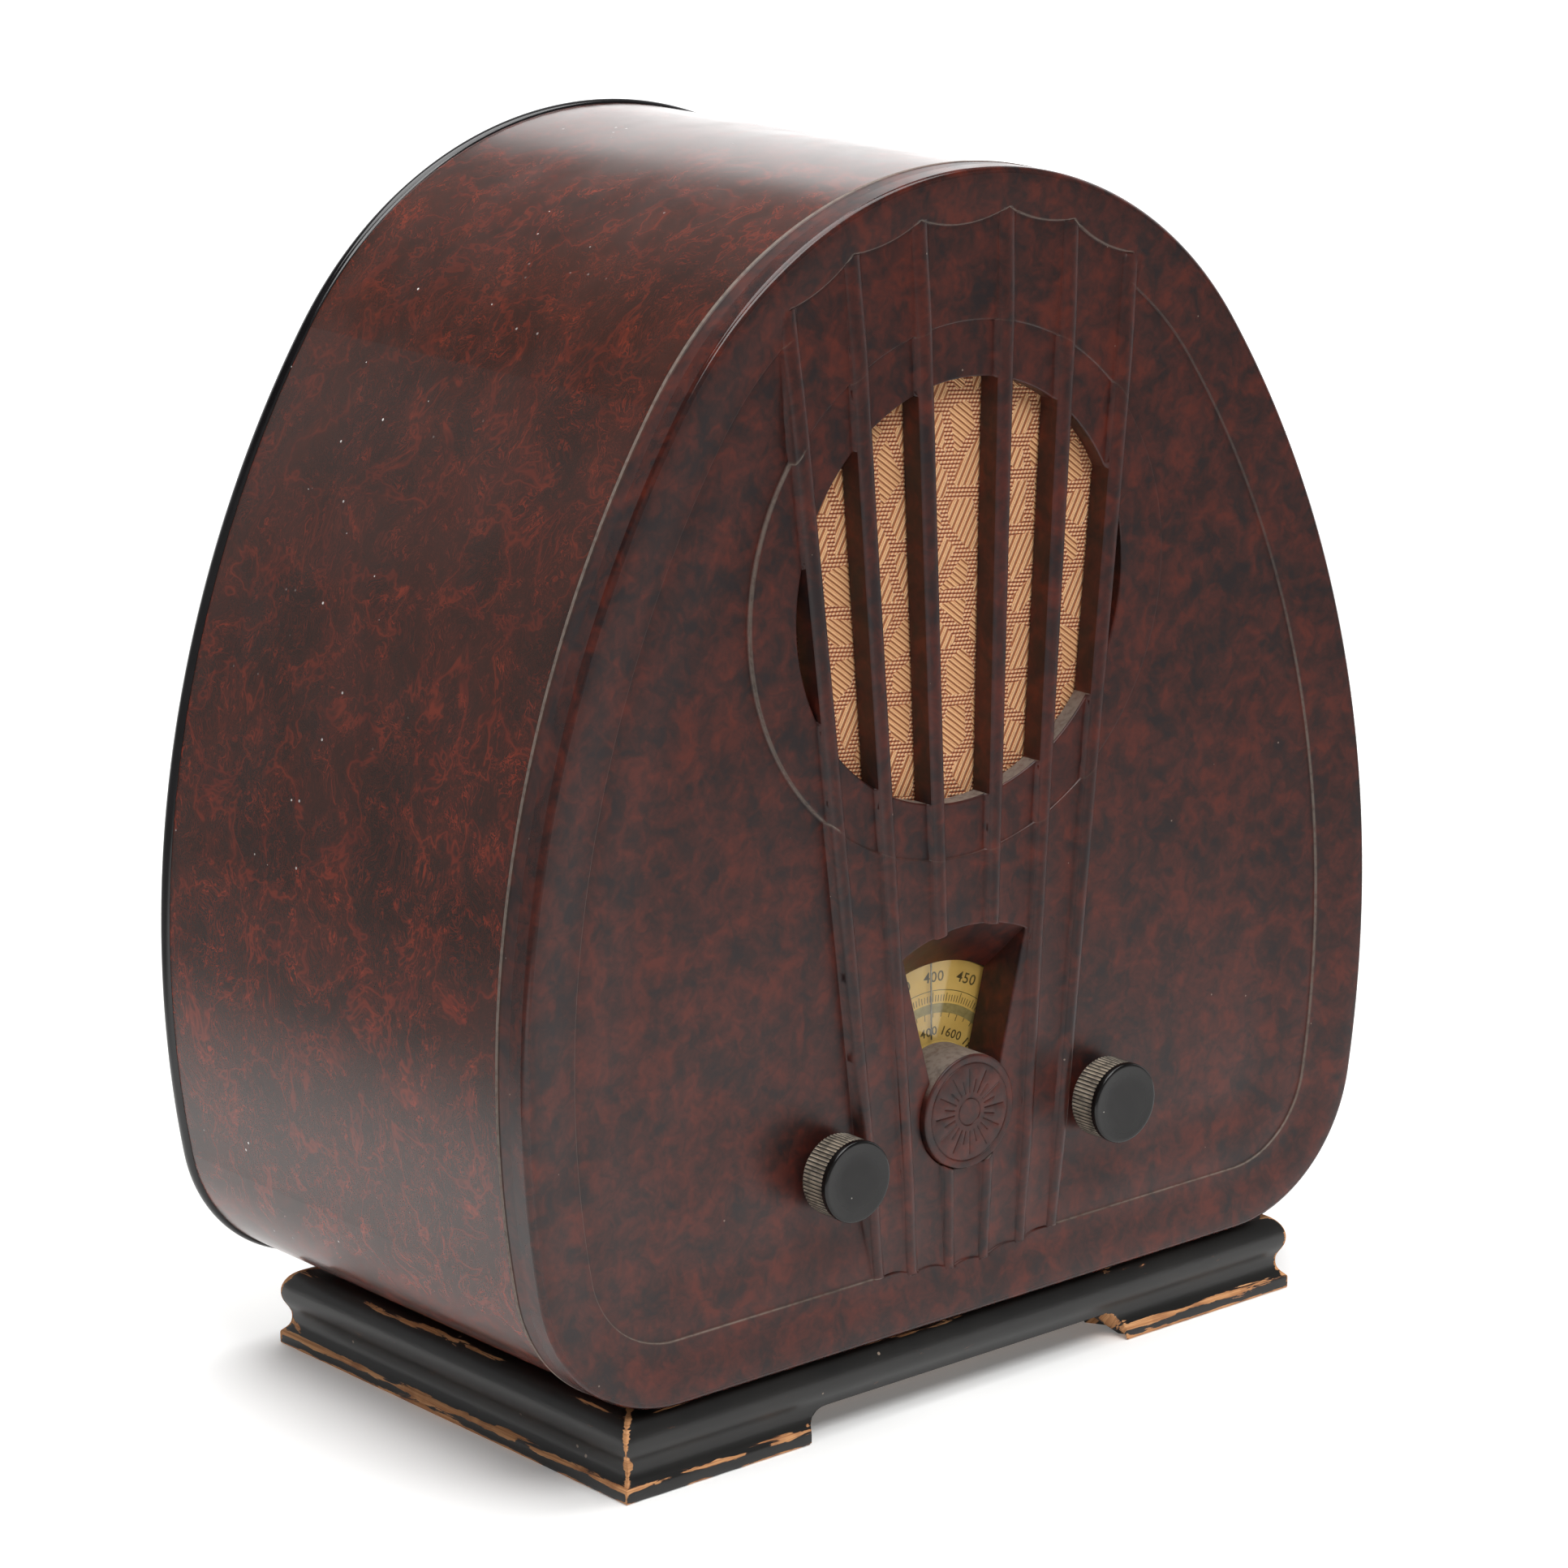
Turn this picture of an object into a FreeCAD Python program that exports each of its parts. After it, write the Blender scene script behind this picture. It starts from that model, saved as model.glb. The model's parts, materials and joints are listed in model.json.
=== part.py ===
import FreeCAD, Part
import math
import os
import re

import Sketcher
from FreeCAD import Placement, Rotation, Vector

# Table radio with an egg-shaped cabinet, in millimetres.
# +X is to the right seen from the front, +Y goes to the back, +Z is up.
# The origin is on the ground, at the middle of the radio's width and depth.

SIZES = {
    # cabinet outline: one arc over the top, one down each side, one round each lower corner
    "case_wide": 431.4,
    "case_high": 450.0,
    "case_floor": 32.4,
    "arc_top": 167.5,
    "arc_side": 438.4,
    "arc_corner": 65.0,
    # cabinet, front to back
    "front_y": -111.0,
    "rim_deep": 17.4,
    "rim_wall": 6.0,
    "rim_round": 3.0,
    "shell_inset": 1.5,
    "shell_wall": 6.0,
    "shell_back": 119.0,
    "bead_wide": 9.0,
    "bead_deep": 6.0,
    "bead_round": 2.8,
    # dished face of the front panel
    "dish_edge": 4.5,
    "dish_line": 25.0,
    "dish_line_deep": 2.5,
    "dish_step": 1.0,
    "dish_field": 55.0,
    "field_deep": 5.5,
    "plate_back": 9.5,
    # speaker opening and its raised ring
    "speaker_z": 321.9,
    "opening_r": 81.8,
    "ring_r": 103.8,
    "ring_proud": 3.5,
    # fan of ribs: top and bottom places of each pair
    "fan_proud": 2.2,
    "rib_back": 11.0,
    "rib_top_wide": 7.6,
    "rib_foot_wide": 5.0,
    "rib_a_top_x": 21.8,
    "rib_a_top_z": 466.0,
    "rib_a_foot_x": 8.9,
    "rib_a_foot_z": 52.5,
    "rib_b_top_x": 54.6,
    "rib_b_top_z": 457.5,
    "rib_b_foot_x": 28.0,
    "rib_b_foot_z": 54.7,
    "rib_c_top_x": 85.4,
    "rib_c_top_z": 441.0,
    "rib_c_foot_x": 45.0,
    "rib_c_foot_z": 57.0,
    "scallop_r": 60.0,
    # dial window and boss
    "window_top_x": 31.5,
    "window_top_z": 183.0,
    "window_top_r": 75.0,
    "window_foot_x": 17.0,
    "window_foot_z": 127.0,
    "tunnel_wall": 2.5,
    "tunnel_back": 22.0,
    "boss_z": 115.7,
    "boss_r": 23.3,
    "boss_proud": 0.5,
    "boss_long": 20.5,
    # baffle, cloth and posts
    "post_x": 88.0,
    "post_low_z": 236.0,
    "post_high_z": 400.0,
    "post_r": 6.0,
    "cloth_y": -99.0,
    "cloth_thick": 0.8,
    "cloth_r": 92.0,
    "baffle_thick": 8.0,
    "baffle_half": 100.0,
    "baffle_low": 205.0,
    "baffle_tall": 209.0,
    # loudspeaker
    "chassis_screw_r": 2.5,
    "flange_r": 98.0,
    "magnet_r": 36.0,
    "cone_r": 71.0,
    # controls
    "knob_x": 69.3,
    "knob_z": 106.9,
    "knob_r": 16.2,
    "knob_y": -125.0,
    "knob_long": 14.4,
    "spindle_r": 3.175,
    "running_gap": 0.045,
    "bracket_y": -62.0,
    "bracket_thick": 2.0,
    # dial and tuning drive
    "shaft_z": 116.0,
    "shaft_r": 3.0,
    "dial_y": -86.6,
    "dial_r": 55.0,
    "dial_thick": 1.2,
    "drive_y": -69.8,
    "drive_r": 62.6,
    "drive_thick": 1.6,
    "lamp_low": 158.0,
    "lamp_r": 5.0,
    "lamp_strap_z": 196.0,
    "pinch_gap": 0.2,
    "pinch_r": 9.0,
    "pinch_thick": 1.2,
    # chassis
    "pan_half": 140.0,
    "pan_front": -60.0,
    "pan_back": 104.0,
    "pan_low": 40.2,
    "pan_top": 84.0,
    "sheet_thick": 1.6,
    "gang_front": -52.0,
    "gang_long": 62.0,
    "gang_half": 36.0,
    "gang_high": 68.0,
    "rotor_r": 28.0,
    "plate_thick": 0.8,
    "plate_pitch": 3.2,
    # plinth
    "plinth_half": 173.7,
    "plinth_front": -112.2,
    "plinth_back": 113.2,
    "rail_wide": 26.0,
    "mitre_reach": 60.0,
    "rail_foot": 5.5,
    "rail_neck": 3.2,
    "rail_shoulder": 11.6,
    "rail_round": 17.0,
    "arch_half": 83.0,
    "arch_high": 12.5,
    "board_thick": 10.0,
    # back
    "cover_inset": 9.3,
    "cover_thick": 3.0,
    "cutout_left": -55.0,
    "cutout_wide": 170.0,
    "cutout_low": 48.0,
    "cutout_high": 36.0,
    "vent_wide": 62.0,
    "vent_high": 6.0,
    "vent_low": 120.0,
    "vent_rise": 150.0,
    "socket_r": 2.0,
    "socket_y": 114.0,
    "socket_z": 64.0,
    "aerial_x": -35.0,
    "earth_x": -15.0,
    "lever_x": 92.0,
    "lever_z": 56.0,
}

doc = FreeCAD.newDocument("table_radio")
sheet = doc.addObject("Spreadsheet::Sheet", "dims")
for row, (alias, size) in enumerate(SIZES.items(), start=1):
    sheet.set(f"A{row}", alias)
    sheet.set(f"B{row}", str(size))
    sheet.setAlias(f"B{row}", alias)
doc.recompute()

WORD = re.compile(r"[a-z][a-z0-9_]*")
PLANES = {"front": "XZ_Plane", "side": "YZ_Plane", "floor": "XY_Plane"}
TURNS = {
    "up": Rotation(),
    "down": Rotation(Vector(1, 0, 0), 180),
    "back": Rotation(Vector(1, 0, 0), -90),
    "ahead": Rotation(Vector(1, 0, 0), 90),
}
nodes = {}


def linked(text):
    """An expression with every size name pointing at its cell."""
    return WORD.sub(lambda word: "dims." + word[0] if word[0] in SIZES else word[0], str(text))


def worth(text):
    """The present value of an expression."""
    return float(sheet.evalExpression(linked(text)))


def bind(thing, prop, text):
    """Tie one property to the sizes in the sheet."""
    thing.setExpression(prop, linked(text))


def keep(name, thing):
    """Name a finished sub-part."""
    thing.Label = name
    nodes[name] = thing
    return thing


# ---------------------------------------------------------------- sketching


def sketch_on(body, plane, offset):
    """An empty sketch parallel to one of the body's base planes, moved along the axis it faces."""
    sketch = body.newObject("Sketcher::SketchObject", body.Name + "_sketch")
    base = next(f for f in body.Origin.OriginFeatures if f.Role == PLANES[plane])
    sketch.AttachmentSupport = [(base, "")]
    sketch.MapMode = "FlatFace"
    sign = "-" if plane == "front" else ""
    bind(sketch, "AttachmentOffset.Base.z", f"{sign}({offset})")
    return sketch


def size_constraint(sketch, place, *constraint):
    """Add a dimension and tie it to an expression."""
    number = sketch.addConstraint(Sketcher.Constraint(*constraint, worth(place)))
    bind(sketch, f"Constraints[{number}]", place)


def hold(sketch, edge, point, across, up):
    """Fix one point of an edge at a place measured from the sketch's origin."""
    for kind, place, axis in (("DistanceX", across, -2), ("DistanceY", up, -1)):
        if place == "0":
            sketch.addConstraint(Sketcher.Constraint("PointOnObject", edge, point, axis))
        else:
            size_constraint(sketch, place, kind, -1, 1, edge, point)


def circle(sketch, across, up, radius):
    """Add a circle."""
    centre = Vector(worth(across), worth(up), 0)
    edge = sketch.addGeometry(Part.Circle(centre, Vector(0, 0, 1), worth(radius)))
    hold(sketch, edge, 3, across, up)
    size_constraint(sketch, radius, "Radius", edge)


def bent_edge(sketch, start, end, radius, side):
    """Add an arc from start to end that bows to the left (side 1) or right (side -1) of the way."""
    reach = worth(radius)
    along = end - start
    left = Vector(-along.y, along.x, 0).normalize() * side
    rise = math.sqrt(reach ** 2 - (along.Length / 2) ** 2)
    centre = (start + end) / 2 - left * rise
    first, last = (end, start) if side > 0 else (start, end)
    angles = [math.atan2(p.y - centre.y, p.x - centre.x) for p in (first, last)]
    if angles[1] < angles[0]:
        angles[1] += 2 * math.pi
    arc = Part.ArcOfCircle(Part.Circle(centre, Vector(0, 0, 1), reach), *angles)
    edge = sketch.addGeometry(arc)
    size_constraint(sketch, radius, "Radius", edge)
    return (edge, 2, 1) if side > 0 else (edge, 1, 2)


def outline(sketch, corners):
    """Add a closed outline. A corner is (across, up) or (across, up, radius, side) before an arc."""
    points = [Vector(worth(corner[0]), worth(corner[1]), 0) for corner in corners]
    edges = []
    for number, corner in enumerate(corners):
        start, end = points[number], points[(number + 1) % len(corners)]
        if len(corner) == 4:
            edges.append(bent_edge(sketch, start, end, corner[2], corner[3]))
        else:
            edges.append((sketch.addGeometry(Part.LineSegment(start, end)), 1, 2))
    for number, (edge, first, last) in enumerate(edges):
        following = edges[(number + 1) % len(edges)]
        sketch.addConstraint(Sketcher.Constraint("Coincident", edge, last, following[0], following[1]))
        hold(sketch, edge, first, corners[number][0], corners[number][1])


def rectangle(sketch, left, low, wide, high):
    """Add a rectangle from its lower left corner."""
    right, top = f"{left} + {wide}", f"{low} + {high}"
    outline(sketch, [(left, low), (right, low), (right, top), (left, top)])


def case_outline(sketch, inset):
    """Add the cabinet's egg outline, the same distance inside the outer one all round."""
    top_r, side_r, corner_r = (f"{arc} - ({inset})" for arc in ("arc_top", "arc_side", "arc_corner"))
    top_up = "case_floor + case_high - arc_top"
    side_x = "case_wide / 2 - arc_side"
    top = Vector(0, worth(top_up), 0)
    reach = worth("arc_side - arc_top")
    side = Vector(worth(side_x), top.y - math.sqrt(reach ** 2 - worth(side_x) ** 2), 0)
    corner_z = worth("case_floor + arc_corner")
    reach = worth("arc_side - arc_corner")
    corner = Vector(side.x + math.sqrt(reach ** 2 - (corner_z - side.y) ** 2), corner_z, 0)
    upper = math.atan2(top.y - side.y, top.x - side.x)
    lower = math.atan2(corner.y - side.y, corner.x - side.x)
    floor_z = worth(f"case_floor + {inset}")

    def arc(centre, radius, start, end):
        whole = Part.Circle(centre, Vector(0, 0, 1), worth(radius))
        return sketch.addGeometry(Part.ArcOfCircle(whole, start, end))

    def mirrored(point):
        return Vector(-point.x, point.y, 0)

    over = arc(top, top_r, upper, math.pi - upper)
    side_left = arc(mirrored(side), side_r, math.pi - upper, math.pi - lower)
    corner_left = arc(mirrored(corner), corner_r, math.pi - lower, 1.5 * math.pi)
    ends = [Vector(x, floor_z, 0) for x in (-corner.x, corner.x)]
    base = sketch.addGeometry(Part.LineSegment(*ends))
    corner_right = arc(corner, corner_r, -0.5 * math.pi, lower)
    side_right = arc(side, side_r, lower, upper)
    chain = [over, side_left, corner_left, base, corner_right, side_right]
    for edge, following in zip(chain, chain[1:] + chain[:1]):
        sketch.addConstraint(Sketcher.Constraint("Tangent", edge, 2, following, 1))
    radii = [top_r, side_r, corner_r, corner_r, side_r]
    for edge, radius in zip([over, side_left, corner_left, corner_right, side_right], radii):
        size_constraint(sketch, radius, "Radius", edge)
    sketch.addConstraint(Sketcher.Constraint("PointOnObject", over, 3, -2))
    size_constraint(sketch, top_up, "DistanceY", -1, 1, over, 3)
    size_constraint(sketch, side_x, "DistanceX", -1, 1, side_right, 3)
    size_constraint(sketch, f"-({side_x})", "DistanceX", -1, 1, side_left, 3)
    sketch.addConstraint(Sketcher.Constraint("Horizontal", base))
    size_constraint(sketch, f"case_floor + {inset}", "DistanceY", -1, 1, base, 1)


# ---------------------------------------------------------------- solids


def new_body(name):
    """An empty body."""
    return doc.addObject("PartDesign::Body", name)


def extrude(body, kind, sketch, length):
    """Pad or pocket a sketch towards +X, +Y or +Z, whichever way it faces."""
    made = body.newObject("PartDesign::" + kind, body.Name + "_" + kind.lower())
    made.Profile = sketch
    bind(made, "Length", length)
    faces_front = sketch.AttachmentSupport[0][0].Role == PLANES["front"]
    made.Reversed = faces_front == (kind == "Pad")
    return made


def pad(body, plane, offset, length, draw, *sizes):
    """Draw on a plane and pad what is drawn."""
    sketch = sketch_on(body, plane, offset)
    draw(sketch, *sizes)
    return extrude(body, "Pad", sketch, length)


def pocket(body, plane, offset, length, draw, *sizes):
    """Draw on a plane and cut what is drawn."""
    sketch = sketch_on(body, plane, offset)
    draw(sketch, *sizes)
    return extrude(body, "Pocket", sketch, length)


def dish(body, start, end):
    """Cut a sloping dish between two insets, each given with how far back it lies."""
    made = body.newObject("PartDesign::SubtractiveLoft", body.Name + "_dish")
    sketches = []
    for inset, back in (start, end):
        sketch = sketch_on(body, "front", f"front_y + {back}")
        case_outline(sketch, inset)
        sketches.append(sketch)
    made.Profile = sketches[0]
    made.Sections = sketches[1:]
    made.Ruled = True


def place(thing, across, back, up, turn="up"):
    """Put a solid somewhere, turned so that its own +Z points that way."""
    thing.Placement = Placement(Vector(), TURNS[turn])
    for axis, spot in zip("xyz", (across, back, up)):
        bind(thing, f"Placement.Base.{axis}", spot)
    return thing


def lathe(name, corners, across, back, up, turn="up"):
    """A turned piece: an outline of (radius, height) corners spun about its own axis."""
    body = new_body(name)
    sketch = sketch_on(body, "front", "0")
    outline(sketch, corners)
    made = body.newObject("PartDesign::Revolution", name + "_turn")
    made.Profile = sketch
    made.ReferenceAxis = (sketch, ["V_Axis"])
    made.Angle = 360
    return place(body, across, back, up, turn)


def rod(name, radius, length, across, back, up, turn="up", angle=360):
    """A plain cylinder."""
    made = doc.addObject("Part::Cylinder", name)
    bind(made, "Radius", radius)
    bind(made, "Height", length)
    made.Angle = angle
    return place(made, across, back, up, turn)


def block(name, sizes, across, back, up):
    """A box from its lowest corner; sizes are its width, depth and height."""
    made = doc.addObject("Part::Box", name)
    for prop, length in zip(("Length", "Width", "Height"), sizes):
        bind(made, prop, length)
    return place(made, across, back, up)


def fused(name, *members):
    """Several solids joined into one."""
    made = doc.addObject("Part::MultiFuse", name)
    made.Shapes = list(members)
    return made


def cut(name, base, *tools):
    """One solid with others taken out of it."""
    made = doc.addObject("Part::Cut", name)
    made.Base = base
    made.Tool = tools[0] if len(tools) == 1 else fused(name + "_tools", *tools)
    return made


def group(name, *members):
    """Identical pieces that share a node."""
    made = doc.addObject("Part::Compound", name)
    made.Links = list(members)
    return made


def screw(name, head_r, head_long, shank_r, shank_long, across, back, up, turn):
    """A round-headed screw with its head's seat at the given place and its shank along turn."""
    corners = [
        ("0", f"-({head_long})"),
        (f"{head_r} * 0.6", f"-({head_long})"),
        (head_r, f"-({head_long}) * 0.4"),
        (head_r, "0"),
        (shank_r, "0"),
        (shank_r, shank_long),
        ("0", shank_long),
    ]
    return lathe(name, corners, across, back, up, turn)


# ---------------------------------------------------------------- cabinet


def rib_pair(which):
    """The four corners of a left and a right rib, tapering from top to foot."""
    top_x, top_z, foot_x, foot_z = (f"rib_{which}_{part}" for part in ("top_x", "top_z", "foot_x", "foot_z"))
    for sign in ("-", ""):
        yield [
            (f"{sign}{foot_x} - rib_foot_wide / 2", foot_z),
            (f"{sign}{foot_x} + rib_foot_wide / 2", foot_z),
            (f"{sign}{top_x} + rib_top_wide / 2", top_z),
            (f"{sign}{top_x} - rib_top_wide / 2", top_z),
        ]


def fan_outline(sketch):
    """The raised fan behind the ribs, scalloped along its top edge."""
    tips = [f"{sign}rib_{which}_top" for sign, which in zip(["", "", "", "-", "-", "-"], "cbaabc")]
    top = [(f"{tip}_x", f"{tip.lstrip('-')}_z", "scallop_r", 1) for tip in tips]
    top[-1] = top[-1][:2]
    feet = [("-rib_c_foot_x", "rib_c_foot_z"), ("rib_c_foot_x", "rib_c_foot_z")]
    outline(sketch, top + feet)


def window_outline(sketch, grow):
    """The dial window: an arc over the top and sides that lean in towards the boss."""
    outline(
        sketch,
        [
            (f"-window_foot_x - {grow}", f"window_foot_z - {grow}"),
            (f"window_foot_x + {grow}", f"window_foot_z - {grow}"),
            (f"window_top_x + {grow}", f"window_top_z + {grow}", "window_top_r", -1),
            (f"-window_top_x - {grow}", f"window_top_z + {grow}"),
        ],
    )


def both_sides(sketch, across, up, radius):
    """The same circle left and right of the middle."""
    circle(sketch, f"-({across})", up, radius)
    circle(sketch, across, up, radius)


def four_posts(sketch, radius):
    """Circles at the baffle's four fixing points."""
    both_sides(sketch, "post_x", "post_low_z", radius)
    both_sides(sketch, "post_x", "post_high_z", radius)


def round_rim(body, radius, planes):
    """Round the outermost edges of a body that lie flat in the given planes across Y."""
    doc.recompute()
    made = body.newObject("PartDesign::Fillet", body.Name + "_round")
    outermost = worth("case_wide") / 2 - 1
    names = []
    for number, edge in enumerate(made.BaseFeature.Shape.Edges, start=1):
        box = edge.BoundBox
        in_plane = box.YLength < 0.01 and any(abs(box.YMin - plane) < 0.01 for plane in planes)
        if in_plane and max(-box.XMin, box.XMax) > outermost:
            names.append(f"Edge{number}")
    made.Base = (made.BaseFeature, names)
    bind(made, "Radius", radius)


def make_front_panel():
    """The moulded front: dished face, speaker ring, fan of ribs, dial window and boss hole."""
    body = new_body("front_panel_body")
    pad(body, "front", "front_y", "rim_deep", case_outline, "0")
    pocket(body, "front", "front_y + plate_back", "rim_deep - plate_back", case_outline, "rim_wall")
    step_back = "dish_line_deep + dish_step"
    dish(body, ("dish_edge", "0"), ("dish_line", "dish_line_deep"))
    pocket(body, "front", "front_y + 1", f"{step_back} - 1", case_outline, "dish_line")
    dish(body, ("dish_line", step_back), ("dish_field", "field_deep"))
    into = "plate_back - 1"
    pad(body, "front", "front_y + ring_proud", f"{into} - ring_proud", circle, "0", "speaker_z", "ring_r")
    pad(body, "front", "front_y + fan_proud", f"{into} - fan_proud", fan_outline)
    pocket(body, "front", "front_y", "rim_deep", circle, "0", "speaker_z", "opening_r")
    ribs = sketch_on(body, "front", "front_y")
    for which in "abc":
        for corners in rib_pair(which):
            outline(ribs, corners)
    extrude(body, "Pad", ribs, "rib_back")
    pad(body, "front", "front_y + plate_back - 2", "tunnel_back - plate_back + 2", window_outline, "tunnel_wall")
    post_long = "cloth_y + cloth_thick - front_y - plate_back + 1"
    pad(body, "front", "front_y + plate_back - 1", post_long, four_posts, "post_r")
    pocket(body, "front", "front_y", "tunnel_back", window_outline, "0")
    pocket(body, "front", "front_y", "tunnel_back", circle, "0", "boss_z", "boss_r")
    pocket(body, "front", "front_y", "rim_deep", both_sides, "knob_x", "knob_z", "spindle_r + 2")
    pocket(body, "front", "front_y + plate_back", "tunnel_back", four_posts, "chassis_screw_r * 0.7")
    round_rim(body, "rim_round", [worth("front_y")])
    keep("front_panel", body)


def make_cabinet():
    """Everything of the cabinet behind the front panel, and the boss in its face."""
    make_front_panel()
    boss = [
        ("0", "0"),
        ("boss_r - 1.1", "0"),
        ("boss_r - 0.1", "1"),
        ("boss_r - 0.1", "boss_long"),
        ("boss_r - 3.5", "boss_long"),
        ("boss_r - 3.5", "4"),
        ("0", "4"),
    ]
    keep("front_emblem", lathe("emblem_body", boss, "0", "front_y + boss_proud", "boss_z", "back"))

    shell = new_body("shell_body")
    start = "front_y + rim_deep"
    pad(shell, "front", start, f"shell_back - ({start})", case_outline, "shell_inset")
    pocket(shell, "front", start, f"shell_back - ({start})", case_outline, "shell_inset + shell_wall")
    pocket(shell, "floor", "case_floor - 1", "12", case_fixings, "chassis_screw_r + 0.1")
    keep("body_shell", shell)

    rim = new_body("rim_body")
    pad(rim, "front", "shell_back", "bead_deep", case_outline, "0")
    pocket(rim, "front", "shell_back", "bead_deep", case_outline, "bead_wide")
    round_rim(rim, "bead_round", [worth("shell_back"), worth("shell_back + bead_deep")])
    keep("back_rim", rim)


def case_fixings(sketch, radius):
    """The four screws that hold the plinth, the shell and the chassis together."""
    for back in ("pan_front + 24", "pan_back - 24"):
        both_sides(sketch, "pan_half - 9", back, radius)


# ---------------------------------------------------------------- plinth


def rail_section(sketch, outer, inward):
    """A plinth moulding's section: square foot, narrow neck, and a full round above it."""

    def at(inset):
        return f"{outer} {inward} {inset}"

    side = 1 if inward == "+" else -1
    outline(
        sketch,
        [
            (at("0"), "0"),
            (at("0"), "rail_foot"),
            (at("rail_neck"), "rail_foot + 2", "rail_round", side),
            (at("rail_shoulder"), "case_floor"),
            (at("rail_wide"), "case_floor"),
            (at("rail_wide"), "0"),
        ],
    )


def mitred_rail(name, plane, start, length, edge, inward):
    """Pad a moulding and cut both its ends back at 45 degrees."""
    rail = new_body(f"{name}_rail_body")
    pad(rail, plane, start, length, rail_section, edge, inward)
    for corner, turn in ((start, "+"), (f"{start} + {length}", "-")):
        across = (edge, f"{edge} {inward} mitre_reach")
        along = (corner, f"{corner} {turn} mitre_reach")
        if plane == "side":
            triangle = [(along[0], across[0]), (along[1], across[1]), (along[0], across[1])]
        else:
            triangle = [(across[0], along[0]), (across[1], along[0]), (across[1], along[1])]
        pocket(rail, "floor", "-1", "case_floor + 2", outline, triangle)
    return keep(f"plinth_{name}_rail", rail)


def make_plinth():
    """Four mitred mouldings, the front one arched below, and a board across the top."""
    wide = "2 * plinth_half"
    deep = "plinth_back - (plinth_front)"
    front = mitred_rail("front", "side", "-plinth_half", wide, "plinth_front", "+")
    arch = [
        ("-arch_half", "-1"),
        ("arch_half", "-1"),
        ("arch_half", "2"),
        ("arch_half - 10", "arch_high"),
        ("-arch_half + 10", "arch_high"),
        ("-arch_half", "2"),
    ]
    pocket(front, "front", "plinth_front - 1", "rail_wide + 2", outline, arch)
    mitred_rail("back", "side", "-plinth_half", wide, "plinth_back", "-")
    mitred_rail("left", "front", "plinth_front", deep, "-plinth_half", "+")
    mitred_rail("right", "front", "plinth_front", deep, "plinth_half", "-")

    board = new_body("board_body")
    low = "case_floor - board_thick"
    inner = [
        "-plinth_half + rail_wide",
        "plinth_front + rail_wide",
        f"{wide} - 2 * rail_wide",
        f"{deep} - 2 * rail_wide",
    ]
    pad(board, "floor", low, "board_thick", rectangle, *inner)
    pocket(board, "floor", low, "board_thick", case_fixings, "chassis_screw_r + 0.1")
    keep("plinth_top_board", board)


# ---------------------------------------------------------------- loudspeaker

FLANGE_Y = "cloth_y + cloth_thick + baffle_thick"


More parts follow.
